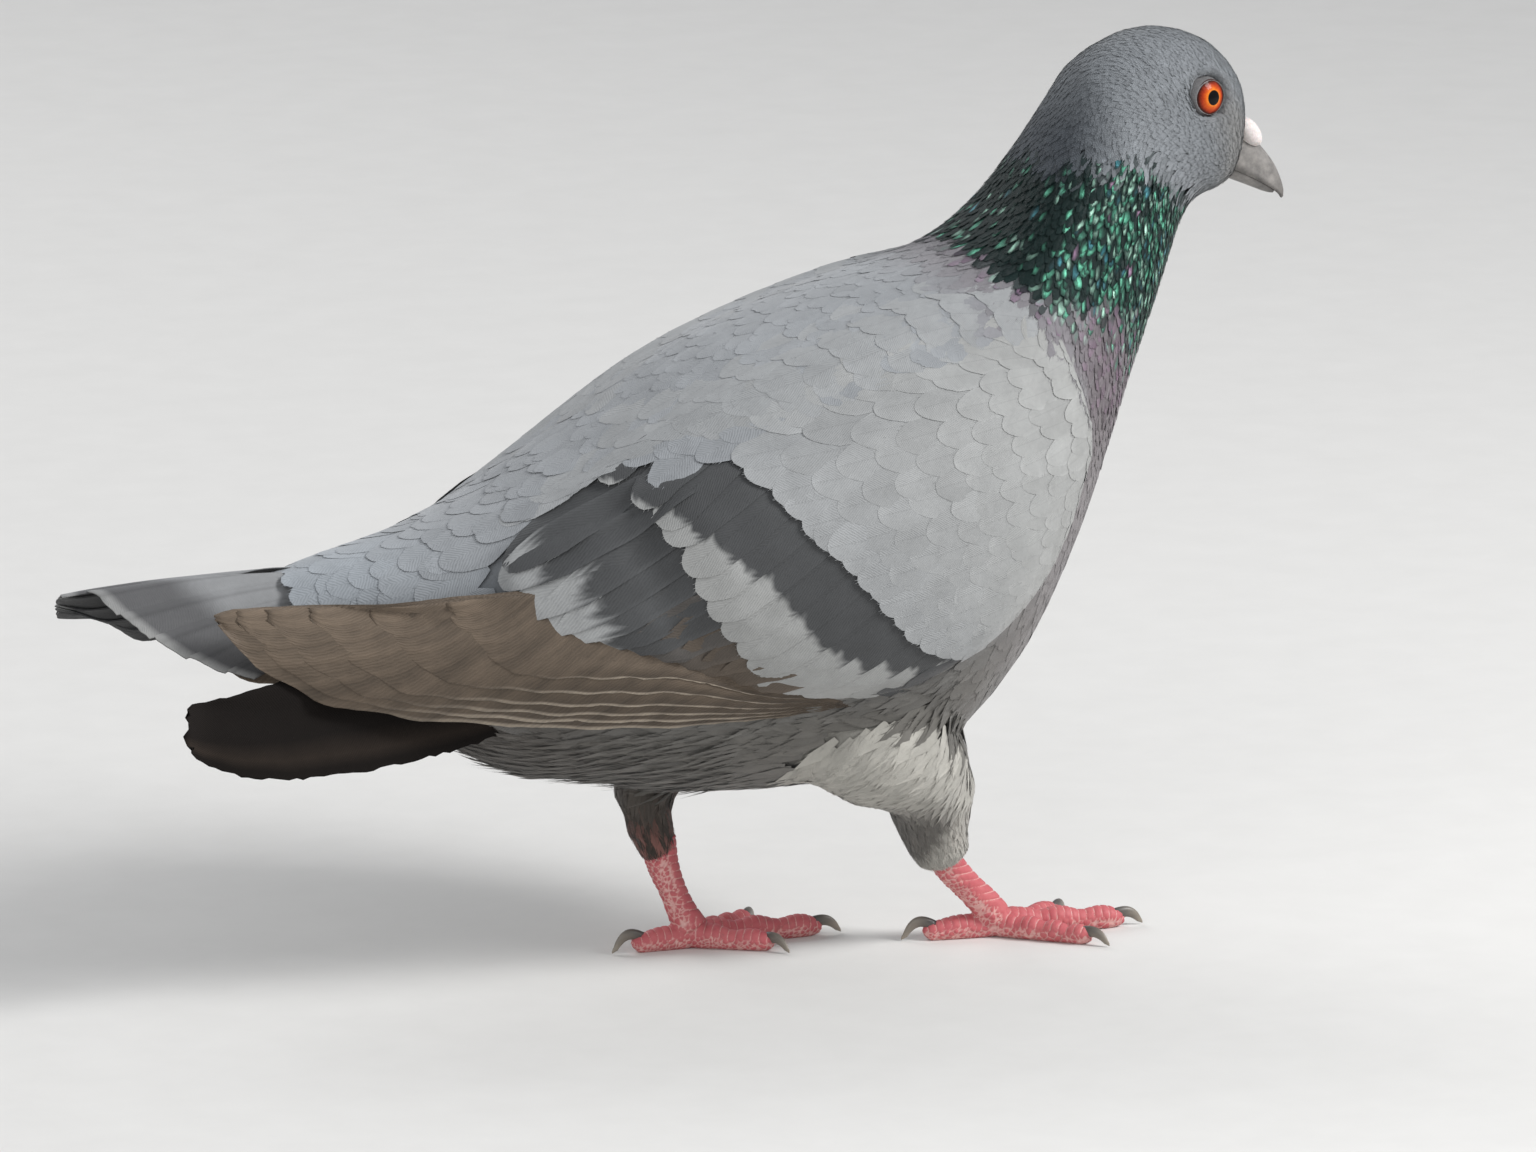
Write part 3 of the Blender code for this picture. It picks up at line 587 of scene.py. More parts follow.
class Coat:
    """Gathers the feathers of one piece, and makes its mesh."""

    def __init__(self):
        self.points, self.colours, self.tufts, self.bakes = [], [], [], []
        self.quads, self.tris, self.total = [], [], 0

    def add(self, points, colours, tufts, bakes, quads=None, tris=None):
        """Adds many feathers: an array of feathers by points by 3, and the faces of one feather."""
        n, m = points.shape[:2]
        start = self.total + np.arange(n)[:, None, None] * m
        if quads is not None:
            self.quads.append((quads[None] + start).reshape(-1, 4))
        if tris is not None:
            self.tris.append((tris[None] + start).reshape(-1, 3))
        self.points.append(points.reshape(-1, 3))
        self.colours.append(colours.reshape(-1, 3))
        self.tufts.append(tufts.reshape(-1, 2))
        self.bakes.append(bakes.reshape(-1, 2))
        self.total += n * m

    def add_shell(self, spots, root, axis, half, tufts, colours, flip=False):
        """Adds one feather as a closed thin solid, half a thickness over and under a grid of points."""
        sheets = np.stack([spots, spots])
        sheets[..., axis] += np.reshape((half, -half), (2, 1, 1)) * MM
        quads = shell_quads(spots.shape[0] - 1, spots.shape[1] - 1)
        self.add(sheets.reshape(1, -1, 3), colours, tufts, bake_patches(root, tufts),
                 quads=quads[:, ::-1] if flip else quads)

    def lay(self, rng, vane, surface, roots, normals, flows, length, width, paint):
        """Lays a feather at each root, bent to follow the surface under it."""
        n = len(roots)
        length = np.broadcast_to(np.asarray(length, float), n) * MM
        width = np.broadcast_to(np.asarray(width, float), n) * MM / 2
        centres, ups, ways = (np.empty((n, vane.rows + 1, 3)) for _ in range(3))
        spot, up, way = roots, normals, flows
        for r in range(vane.rows + 1):
            centres[:, r], ups[:, r], ways[:, r] = spot, up, way
            if r < vane.rows:
                spot, near = surface.nearest(spot + way * (length / vane.rows)[:, None])
                up = unit(up * 0.45 + near * 0.55)
                way = flat_on(way, up)
        at = vane.v_real.ravel() * vane.rows
        low = np.minimum(at.astype(int), vane.rows - 1)
        part = (at - low)[None, :, None]

        def along(values):
            return values[:, low] * (1 - part) + values[:, low + 1] * part

        u, v = vane.u.ravel()[None, :, None], vane.v_real.ravel()[None, :, None]
        up_at, way_at = unit(along(ups)), unit(along(ways))
        side = np.cross(up_at, way_at)
        half = width[:, None, None] * vane.wide.ravel()[None, :, None]
        rise = vane.lift[0] + (vane.lift[1] - vane.lift[0]) * v ** 1.2 - vane.tuck * smooth(0.68, 1.0, v)
        height = rise * MM - vane.crown * half * u**2 + vane.tilt * MM * u
        wobble = rng.normal(0, vane.wobble, (n, 1, 1)) * MM * v
        points = along(centres) + side * half * u
        if vane.hug:
            near, up_near = surface.nearest(points.reshape(-1, 3))
            points, up_at = near.reshape(points.shape), unit(up_near).reshape(points.shape)
        points = points + up_at * (height + wobble)
        tip = (vane.v.ravel() == 1)[None, :, None]
        points += way_at * tip * rng.uniform(-vane.rag, vane.rag * 0.6, (n, vane.count, 1)) * MM
        u_flat = np.broadcast_to(vane.u.ravel(), (n, vane.count))
        v_flat = np.broadcast_to(vane.v_real.ravel(), (n, vane.count))
        colours = paint(roots, u_flat, v_flat)
        tufts = np.stack([u_flat * 0.5 + 0.5, v_flat], axis=2)
        bakes = bake_patches(roots, tufts)
        self.add(points, colours, tufts, bakes, quads=vane.quads)
        self.fringe(rng, vane, points, way_at, side, up_at, colours, tufts, bakes)

    def fringe(self, rng, vane, points, way, side, up, colours, tufts, bakes):
        """Loose barbs that stand out past a feather's tip, as slim pointed blades."""
        n, columns = len(points), vane.columns
        edge = np.arange(vane.count - columns - 1, vane.count)
        shift = rng.random((n, vane.barbs))
        spot = (np.arange(vane.barbs) + shift) / vane.barbs * columns
        low = np.minimum(spot.astype(int), columns - 1)
        part = (spot - low)[..., None]
        one = np.arange(n)[:, None]
        first, second = edge[low], edge[low + 1]

        def pick(values):
            return values[one, first] * (1 - part) + values[one, second] * part

        base, ahead, across, over = pick(points), pick(way), pick(side), pick(up)
        reach = vane.barb_length * MM * rng.uniform(0.35, 1.0, (n, vane.barbs, 1))
        splay = (spot / columns * 2 - 1)[..., None] * 0.45 + rng.normal(0, 0.22, (n, vane.barbs, 1))
        drop = rng.normal(-0.06, 0.10, (n, vane.barbs, 1))
        tip = base + (ahead + across * splay + over * drop) * reach
        back = base - ahead * BARB_ROOT * MM
        blade = np.stack([back - across * BARB_HALF * MM, back + across * BARB_HALF * MM, tip], axis=2)
        grouped = blade.reshape(n, vane.barbs * 3, 3)
        tris = np.arange(vane.barbs * 3).reshape(-1, 3)

        def spread(values):
            return np.repeat(pick(values), 3, axis=1)

        shade = np.tile(BARB_SHADES, vane.barbs)[None, :, None]
        self.add(grouped, spread(colours) * shade, spread(tufts), spread(bakes), tris=tris)

    def build(self, name, finish, slot_name, mirrored=False):
        """Makes the piece. A mirrored piece is the same plumage on the bird's other side."""
        points, bakes = np.concatenate(self.points), np.concatenate(self.bakes)
        faces = [np.concatenate(kind) for kind in (self.quads, self.tris) if kind]
        if mirrored:
            points = points * (1, -1, 1)
            faces = [f[:, ::-1] for f in faces]
            bakes = np.stack([bakes[:, 0], 2 * BAKE_MARGIN + BAKE_WIDTH - bakes[:, 1]], axis=1)
        uvs = {"Tuft": np.concatenate(self.tufts), "OFBake": bakes}
        mesh = array_mesh(name, points, faces, uvs, np.concatenate(self.colours))
        return new_piece(name, mesh, finish)


# ---- markings

# The green band's edges as stations, by depth share from the back to the breast
GREEN_LOW = ((0.0, 0.2, 0.5, 0.85, 1.0), (6.9, 8.0, 9.15, 9.45, 9.55))
GREEN_TOP = ((0.0, 0.2, 0.4, 0.7, 1.0), (10.0, 10.8, 11.35, 11.75, 11.95))


def band_edges(fall, blur):
    """The stations of the green band's lower and upper edge, blurred feather by feather."""
    shift = np.clip(blur, -1.5, 1.5)
    return np.interp(fall, *GREEN_LOW) + shift * 0.22, np.interp(fall, *GREEN_TOP) + shift * 0.28


def plumage(points, blur=0.0):
    """The colour of the coat at points of the body, away from the wings and the tail."""
    place, angle, fall, _row = body_place(points)
    back = np.cos(angle)
    low, top = band_edges(fall, blur)
    # The underside darkens toward the belly and the vent: painted shade
    colour = blend(BELLY_SHADED, chosen("ash"), smooth(0.85, 0.45, fall))
    colour = blend(colour, VENT_SHADED, smooth(2.9, 0.9, place) * smooth(0.50, 0.80, fall))
    colour = blend(colour, RUMP_PALE, smooth(1.6, 0.2, place) * smooth(0.6, 0.35, fall))
    colour = blend(colour, MAUVE, smooth(5.2, 7.4, place) * smooth(0.25, 0.7, fall))
    wash = 0.65 + 0.3 * smooth(0.2, 0.6, fall)
    colour = blend(colour, PURPLE, smooth(low - 1.7, low - 0.4, place) * wash)
    colour = blend(colour, GREEN_DARK, smooth(low - 0.25, low + 0.2, place))
    # Darker toward the back of the head and upper neck: partly their own dark grey, partly painted shade
    head = blend(chosen("slate"), NAPE, smooth(0.1, 0.9, back) * smooth(12.9, 10.6, place))
    colour = blend(colour, head, smooth(top - 0.15, top + 0.2, place))
    face = smooth(13.0, 14.4, place) * smooth(0.15, 0.5, fall)
    return blend(colour, FACE_GREY, face)


def iridescence(points, blur):
    """How strongly the neck's green and purple shine at points of the body: (green, purple)."""
    place, fall = place_and_fall(points)
    low, top = band_edges(fall, blur)
    green = smooth(low - 0.4, low + 0.1, place) * smooth(top + 0.2, top - 0.1, place)
    purple = smooth(low - 1.3, low - 0.4, place) * smooth(low + 0.35, low - 0.1, place)
    return green, purple


def on_neck(green, purple, fall):
    """How far points belong to the neck's own feathers. The purple of the shoulder belongs to the body's."""
    return green + purple * smooth(0.42, 0.60, fall)


def tinted(rng, spread, edge=0.0, base=0.0):
    """A painter of the body's own colours, with a tone for each feather, a paler edge and a darker base."""
    def paint(roots, u, v):
        tone = 1 + rng.normal(0, spread, (len(roots), 1, 1))
        colour = plumage(roots, rng.normal(0, 0.5, len(roots)))[:, None, :] * tone
        margin = smooth(0.72, 1.0, np.maximum(np.abs(u), v))[..., None]
        return np.clip(colour * (1 + edge * margin) * (1 - base * (1 - v[..., None])), 0, 1)
    return paint


# ---- shader maths

class Wire:
    """A node socket that can be used in Python expressions."""

    def __init__(self, tree, socket):
        self.tree, self.socket = tree, socket

    def _math(self, operation, *values):
        node = self.tree.nodes.new("ShaderNodeMath")
        node.operation = operation
        for place, value in enumerate(values):
            if isinstance(value, Wire):
                self.tree.links.new(value.socket, node.inputs[place])
            else:
                node.inputs[place].default_value = value
        return Wire(self.tree, node.outputs[0])

    def __abs__(self):
        return self._math("ABSOLUTE", self)

    def sine(self):
        return self._math("SINE", self)

    def clamp(self):
        return self._math("MINIMUM", self._math("MAXIMUM", self, 0.0), 1.0)

    def step(self, low, high):
        """A smooth step from 0 to 1 between two values."""
        t = ((self - low) / (high - low)).clamp()
        return t * t * (3 - 2 * t)


def overload(word, operation):
    """Gives Wire an operator, and its reflected form for a number that comes first."""
    setattr(Wire, f"__{word}__", lambda self, other: self._math(operation, self, other))
    setattr(Wire, f"__r{word}__", lambda self, other: self._math(operation, other, self))


for word, operation in (("add", "ADD"), ("sub", "SUBTRACT"), ("mul", "MULTIPLY"), ("truediv", "DIVIDE")):
    overload(word, operation)


class Finish:
    """A material under construction."""

    def __init__(self, name, roughness=0.6, **constants):
        self.material = bpy.data.materials.new(name)
        self.material.use_nodes = True
        self.tree = self.material.node_tree
        self.shader = self.tree.nodes["Principled BSDF"]
        self.shader.inputs["Roughness"].default_value = roughness
        for socket, value in constants.items():
            self.shader.inputs[socket.replace("_", " ")].default_value = value

    def node(self, kind, settings=(), inputs=()):
        """Adds a node: its settings first, then the values or links of its sockets."""
        made = self.tree.nodes.new(kind)
        for key, value in dict(settings).items():
            if key == "stops":
                ramp = made.color_ramp
                for place, (position, colour) in enumerate(value):
                    stop = ramp.elements[place] if place < 2 else ramp.elements.new(position)
                    stop.position, stop.color = position, (*colour, 1)
            else:
                setattr(made, key, value)
        for key, value in dict(inputs).items():
            if isinstance(value, Wire):
                self.tree.links.new(value.socket, made.inputs[key])
            else:
                made.inputs[key].default_value = value
        return made

    def out(self, node, name):
        return Wire(self.tree, node.outputs[name])

    def attribute(self, name, output="Color"):
        return self.out(self.node("ShaderNodeAttribute", {"attribute_name": name}), output)

    def tuft(self):
        """Where a point is on its feather: across and along it, each from 0 to 1."""
        uv = self.node("ShaderNodeUVMap", {"uv_map": "Tuft"})
        parts = self.node("ShaderNodeSeparateXYZ", (), {"Vector": self.out(uv, "UV")})
        return self.out(parts, "X"), self.out(parts, "Y")

    def marked(self, factor):
        """The coat's markings, made lighter or darker."""
        return self.brighten(self.attribute("plumage"), factor)

    def place(self):
        return self.out(self.node("ShaderNodeTexCoord"), "Object")

    def noise(self, scale, detail=2.0, rough=0.5, vector=None, stretch=None):
        vector = vector or self.place()
        if stretch:
            mapping = self.node("ShaderNodeMapping", (), {"Vector": vector, "Scale": stretch})
            vector = self.out(mapping, "Vector")
        made = self.node("ShaderNodeTexNoise", (), {
            "Vector": vector, "Scale": scale, "Detail": detail, "Roughness": rough,
        })
        return self.out(made, "Fac")

    def cells(self, scale, feature="DISTANCE_TO_EDGE"):
        made = self.node("ShaderNodeTexVoronoi", {"feature": feature}, {
            "Vector": self.place(), "Scale": scale,
        })
        return self.out(made, "Distance")

    def mix(self, share, a, b):
        """Mixes two colours, each a socket or a tuple."""
        a, b = (value if isinstance(value, Wire) else (*value, 1) for value in (a, b))
        return self.out(self.node("ShaderNodeMix", {"data_type": "RGBA"}, {0: share, 6: a, 7: b}), 2)

    def vector(self, x, y, z):
        return self.out(self.node("ShaderNodeCombineXYZ", (), {"X": x, "Y": y, "Z": z}), "Vector")

    def brighten(self, colour, factor):
        """A colour times a number that varies."""
        grey = self.vector(factor, factor, factor)
        product = self.node("ShaderNodeVectorMath", {"operation": "MULTIPLY"}, {0: colour, 1: grey})
        return self.out(product, 0)

    def barbs(self, line, grain):
        """Fine ridges along a line that the grain makes wander, from 0 to 1."""
        return (line + grain).sine() * 0.5 + 0.5

    def finished(self, colour, height, strength, distance, **varying):
        """Feeds the colour, a bump as deep as the distance in millimetres, and whatever else varies."""
        bump = self.node("ShaderNodeBump", (), {
            "Height": height, "Strength": strength, "Distance": distance * MM,
        })
        fed = {"Base Color": colour, "Normal": self.out(bump, "Normal"), **varying}
        for socket, value in fed.items():
            self.tree.links.new(value.socket, self.shader.inputs[socket])
        return self.material


def feather_finish(name, barbs, slant, rough, contrast, shaft=0.0, strength=0.5, sheen=0.15, gloss=0.3):
    """Feather: the coat's markings, barbs that slant from the shaft, and soft mottling."""
    made = Finish(name, rough, Sheen_Weight=sheen, Sheen_Roughness=0.45, Specular_IOR_Level=gloss)
    across, along = made.tuft()
    out = abs(across - 0.5) * 2
    line = (along - out * (slant / 2)) * (barbs * 2 * math.pi)
    weave = made.noise(900.0, 1.0)
    ridge = made.barbs(line, weave * 5.0)
    mottle = made.noise(160.0, 3.0, 0.6)
    factor = (1 - contrast) + ridge * (contrast * 0.9) + (mottle - 0.5) * 0.35 + (weave - 0.5) * 0.12
    if shaft:
        factor = factor * (1 - (1 - out.step(0.0, 0.05)) * shaft)
    return made.finished(made.marked(factor), ridge * 0.7 + weave * 0.5, strength, 0.12,
                         Roughness=rough - 0.08 + mottle * 0.16)


def skin_finish():
    made = Finish("down_skin", 0.85, Sheen_Weight=0.2, Specular_IOR_Level=0.2)
    grain = made.noise(520.0, 4.0, 0.65)
    broad = made.noise(90.0, 3.0, 0.6)
    return made.finished(made.marked(0.40 + grain * 0.35 + broad * 0.2), grain, 0.6, 0.4)


def glossy_neck_finish():
    """Neck feathers: the markings shine like metal where they are bright."""
    made = Finish("iridescent_feather", 0.36, Specular_IOR_Level=0.12)
    across, along = made.tuft()
    out = abs(across - 0.5) * 2
    colour = made.attribute("plumage")
    parts = made.node("ShaderNodeSeparateColor", (), {"Color": colour})
    bright = (made.out(parts, "Green") - made.out(parts, "Red") * 0.85).step(0.02, 0.14)
    line = (along - out * 0.3) * 150.0
    weave = made.noise(1100.0, 1.0)
    ridge = made.barbs(line, weave * 6.0)
    colour = made.brighten(colour, 0.75 + ridge * 0.3 + (weave - 0.5) * 0.3)
    return made.finished(colour, ridge * 0.6 + weave * 0.6, 0.45, 0.10, Metallic=bright * 0.28 + 0.04,
                         Roughness=0.46 - bright * 0.12 + (weave - 0.5) * 0.15)


def flight_finish():
    """Worn flight feathers: fine slanting barbs, shallow folds and frayed, blotchy browns."""
    made = Finish("flight_feather", 0.62, Sheen_Weight=0.05, Specular_IOR_Level=0.3)
    across, along = made.tuft()
    grain = made.noise(700.0, 2.0)
    blotch = made.noise(120.0, 4.0, 0.65)
    slant = along * 30.0 + across * 5.0
    fold = made.noise(1.0, 3.0, 0.6, vector=made.vector(slant, across * 1.2, along * 2.0))
    ridge = made.barbs(slant * 22.0, grain * 7.0)
    # The folds also lighten and darken the colour: painted light and shade
    factor = 0.80 + ridge * 0.12 + (blotch - 0.5) * 0.6 + (fold - 0.5) * 0.95
    return made.finished(made.marked(factor), ridge * 0.3 + fold * 3.4 + grain * 0.3, 0.65, 0.3,
                         Roughness=0.5 + blotch * 0.22)


def leg_finish():
    """Bare leg: pink-red scales with pale, dusty edges."""
    made = Finish("leg_scales", 0.55, Specular_IOR_Level=0.4, Subsurface_Weight=0.08,
                  Subsurface_Scale=0.0015, Subsurface_Radius=(1.0, 0.35, 0.25))
    scale = made.attribute("scales", "Fac")
    blotch = made.noise(260.0, 4.0, 0.6)
    fine = made.noise(1400.0, 2.0)
    flesh = made.mix(blotch, (0.42, 0.065, 0.085), (0.58, 0.17, 0.17))
    dusty = made.mix(fine, (0.66, 0.34, 0.31), (0.78, 0.55, 0.50))
    edge = (1 - scale.step(0.05, 0.55)) * (0.35 + blotch * 0.9)
    colour = made.mix(edge.clamp(), flesh, dusty)
    dirt = made.noise(420.0, 5.0, 0.7).step(0.56, 0.72)
    colour = made.mix(dirt * 0.35, colour, (0.20, 0.085, 0.07))
    return made.finished(colour, fine * 0.4 + blotch * 0.4, 0.4, 0.12, Roughness=0.45 + blotch * 0.25)


def claw_finish():
    made = Finish("claw_horn", 0.38, Specular_IOR_Level=0.5)
    near = made.attribute("tip", "Fac")
    streak = made.noise(500.0, 3.0, 0.6, stretch=(0.25, 1.0, 1.0))
    colour = made.mix((near + (streak - 0.5) * 0.5).clamp(), (0.045, 0.042, 0.042), (0.30, 0.26, 0.21))
    return made.finished(colour, streak, 0.4, 0.1, Roughness=0.30 + streak * 0.2)


def bill_finish():
    """Bill horn: dark grey with pale, powdery blotches, fine lengthwise growth lines and a darker tip."""
    made = Finish("bill_horn", 0.42, Specular_IOR_Level=0.5)
    powder = made.noise(330.0, 5.0, 0.7)
    streak = made.noise(700.0, 3.0, 0.6, stretch=(0.35, 1.0, 0.6))
    near = made.attribute("tip", "Fac")
    pale = (powder * 1.3 + streak * 0.9 - 0.6).clamp()
    colour = made.mix(pale, (0.075, 0.072, 0.07), (0.31, 0.29, 0.27))
    colour = made.mix(near.step(0.55, 1.0) * 0.7, colour, (0.06, 0.055, 0.052))
    return made.finished(colour, streak * 0.6 + powder * 0.5, 0.35, 0.12, Roughness=0.34 + powder * 0.2)


def cere_finish():
    """Cere: chalky white skin with fine pits and warmer, darker patches here and there."""
    made = Finish("cere_skin", 0.7, Subsurface_Weight=0.1, Subsurface_Scale=0.001)
    pits = made.cells(1500.0, "F1")
    powder = made.noise(900.0, 4.0, 0.7)
    colour = made.mix((powder * 1.6 - 0.3).clamp(), (0.78, 0.74, 0.72), (0.52, 0.46, 0.44))
    return made.finished(colour, pits * 0.7 + powder * 0.9, 0.7, 0.16, Roughness=0.6 + powder * 0.2)


def eye_finish():
    """Eye: a black pupil, an orange iris with fibres and a red rim, under a wet clear coat."""
    made = Finish("eye", 0.30, Coat_Weight=0.16, Coat_Roughness=0.02, Coat_IOR=1.38,
                  Specular_IOR_Level=0.05)
    from_middle = made.attribute("from_middle", "Fac")
    fibres = made.noise(2600.0, 3.0, 0.6)
    blotch = made.noise(900.0, 2.0, 0.5)
    iris = made.node("ShaderNodeValToRGB", {"stops": (
        (0.44, (0.66, 0.19, 0.02)), (0.58, (0.52, 0.085, 0.012)), (0.78, (0.29, 0.030, 0.01)),
        (0.94, (0.04, 0.009, 0.006)),
    )}, {"Fac": from_middle + (blotch - 0.5) * 0.22})
    colour = made.brighten(made.out(iris, "Color"), 0.65 + fibres * 0.7)
    black = (1 - (from_middle + (fibres - 0.5) * 0.015).step(0.42, 0.45))
    return made.finished(made.mix(black, colour, (0.004, 0.004, 0.004)), fibres * (1 - black), 0.25, 0.15)


def lid_finish():
    """Bare skin round the eye: dark greyish pink with fine wrinkles."""
    made = Finish("lid_skin", 0.6, Specular_IOR_Level=0.35)
    wrinkle = made.cells(1700.0)
    tone = made.noise(800.0, 3.0)
    colour = made.mix(tone, (0.115, 0.113, 0.115), (0.20, 0.195, 0.195))
    # Darker along the wrinkles' creases: painted shade
    colour = made.brighten(colour, 0.7 + wrinkle.step(0.0, 0.12) * 0.35)
    return made.finished(colour, wrinkle, 0.6, 0.12)


def floor_finish():
    made = Finish("studio_floor", 0.85)
    grain = made.noise(60.0, 5.0, 0.6)
    return made.finished(made.mix(grain, (0.66, 0.65, 0.63), (0.72, 0.71, 0.69)), grain, 0.1, 0.3)


MAKERS = {
    "skin": skin_finish,
    "head": lambda: feather_finish("head_feather", 8.0, 0.3, 0.78, 0.25, strength=0.6),
    "neck": glossy_neck_finish,
    "body": lambda: feather_finish("body_feather", 22.0, 0.6, 0.78, 0.13, sheen=0.2),
    "covert": lambda: feather_finish("covert_feather", 30.0, 0.6, 0.72, 0.08, shaft=0.10),
    "flight": flight_finish,
    "tail": lambda: feather_finish("tail_feather", 170.0, 0.16, 0.66, 0.14),
    "dark_tail": lambda: feather_finish("dark_tail_feather", 170.0, 0.16, 0.8, 0.25, sheen=0.0, gloss=0.06),
    "leg": leg_finish,
    "claw": claw_finish,
    "bill": bill_finish,
    "cere": cere_finish,
    "eye": eye_finish,
    "lid": lid_finish,
    "floor": floor_finish,
}
FINISHES = {}


def finish_of(name):
    """A finish by name, made the first time it is asked for."""
    if name not in FINISHES:
        FINISHES[name] = MAKERS[name]()
    return FINISHES[name]


def node_box(name):
    """A node's lowest and highest corners, in metres."""
    return [np.array(corner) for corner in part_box(name)]


BILL_BASE = node_box("bill_upper")[0] * (1, 0, 1) + np.array((0.001, 0, 0.010))
EYE_CENTRES = {side: sum(node_box("eye_" + word)) / 2 for side, word in SIDE_WORDS.items()}


# ---- skin and body plumage

# The skin keeps this share of what lies behind it, and lies at least this far under the back, in millimetres
SKIN_SHARE = 0.42
UNDER_BACK = 1.1


def make_skin(depth):
    """One skin under the whole coat, inside the solids by the coat's depth."""
    form = Body.get()
    points, normals = form.points, form.normals
    inward = np.full(len(points), depth * MM)
    for i, (spot, normal) in enumerate(zip(points, normals)):
        hit = form.tree.ray_cast(spot - normal * 1e-4, -normal, 8 * MM)
        if hit[0] is not None:
            inward[i] = min(inward[i], hit[3] * SKIN_SHARE)
    thin = np.ones(len(points))
    for side in SIDE_WORDS:
        from_eye = np.linalg.norm(points - EYE_CENTRES[side], axis=1) / MM
        thin *= smooth(5.0, 8.0, from_eye) * 0.8 + 0.2
    points = points - normals * (inward * thin)[:, None]
    over, out = Body.back.nearest(points)
    above = ((points - over) * out).sum(1) + UNDER_BACK * MM
    points -= out * (np.clip(above, 0, 3 * MM) * (body_place(points)[0] < 9.0))[:, None]
    colours = plumage(points)
    for side in SIDE_WORDS:
        thigh = near_thigh(points, side)
        colours[thigh] = thigh_tone(points[thigh], side)
    mesh = array_mesh("skin", points, [form.faces], None, colours)
    made = new_piece("skin", mesh, "skin")
    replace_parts(made, "head", "neck", "trunk", "rump", "thigh_left", "thigh_right")


def near_thigh(points, side):
    """Whether points are in the box of one thigh or close to it."""
    low, high = node_box("thigh_" + SIDE_WORDS[side])
    inside = (points > low - 2 * MM) & (points < high + 2 * MM)
    return inside.all(1) & (points[:, 1] * side > 2 * MM)


# How far the feathers keep from the middle of an eye, in millimetres
EYE_RING = 4.6
# The gaps, lengths and widths of the body's feathers in millimetres, by station
PLACE_KEYS = (-4, -2, 0, 2, 4, 6, 7, 8, 9, 10.2, 11.4, 12.5, 14, 16)
SPACING_AT = (PLACE_KEYS, (4.6, 4.4, 4.2, 4.0, 3.6, 2.4, 1.65, 1.45, 1.32, 1.2, 1.0, 0.82, 0.66, 0.52))
LENGTH_AT = (PLACE_KEYS, (24, 24, 22, 19, 16, 10.5, 7.6, 6.6, 6.0, 5.4, 4.6, 3.8, 2.9, 2.0))
WIDTH_AT = (PLACE_KEYS, (14, 14, 13, 11.5, 10, 5.4, 3.7, 3.0, 2.6, 2.25, 1.7, 1.35, 1.05, 0.8))


def by_place(table, points):
    return np.interp(body_place(points)[0], *table)


def body_roots(rng, low, high, tries, surface):
    """Feather roots on the bare body between two stations, clear of the wings, the legs and the eyes."""
    def wanted(centre):
        place = body_place(centre)[0]
        return (place >= low) & (place < high)

    spots, normals = scatter(rng, surface, wanted, lambda p: by_place(SPACING_AT, p) * MM, tries)
    part = Body.part_at(spots)
    bare = np.isin(part, ("head", "neck", "trunk", "rump"))
    place, fall = place_and_fall(spots)
    bare |= np.isin(part, ("scapulars_left", "scapulars_right")) & (fall < 0.12) & (place > 2.7)
    for centre in EYE_CENTRES.values():
        bare &= np.linalg.norm(spots - centre, axis=1) > EYE_RING * MM
    return spots[bare], normals[bare]


def belly_roots(rng, wanted, gap, tries):
    """Feather roots under the trunk and the rump, with one gap everywhere."""
    spots, normals = scatter(rng, Body.get(), wanted, lambda p: np.full(len(p), gap * MM), tries)
    bare = np.isin(Body.part_at(spots), ("trunk", "rump"))
    return spots[bare], normals[bare]


# The half width of the bill's root, and how high the cere reaches, in millimetres
BILL_HALF = 4.2
CERE_TOP = 194.2


def make_head_coat(rng):
    """Short tufts that run back from the bill."""
    spots, normals = body_roots(rng, 9.9, 16.5, 70000, Body.get())
    green, _purple = iridescence(spots, rng.normal(0, 0.8, len(spots)))
    x, y, z = (spots / MM).T
    in_bill = (x > BILL_BASE[0] / MM - 0.5) & (np.abs(y) < BILL_HALF) & (z < CERE_TOP)
    shown = (green < 0.5) & ~in_bill
    spots, normals = spots[shown], normals[shown]
    coat = Coat()
    flows = swayed(rng, tail_ward(spots, normals), normals, 0.10)
    vane = Vane(2, 2, tip_round=0.35, waist=0.6, crown=0.03, lift=(-0.45, -0.06), rag=0.25,
                barbs=4, barb_length=1.2, wobble=0.015)
    length = by_place(LENGTH_AT, spots) * rng.uniform(0.85, 1.15, len(spots))
    width = by_place(WIDTH_AT, spots)
    coat.lay(rng, vane, Body.get(), spots, normals, flows, length, width, tinted(rng, 0.05, 0.03, 0.05))
    coat.build("head_coat", "head", "slate_feathers")


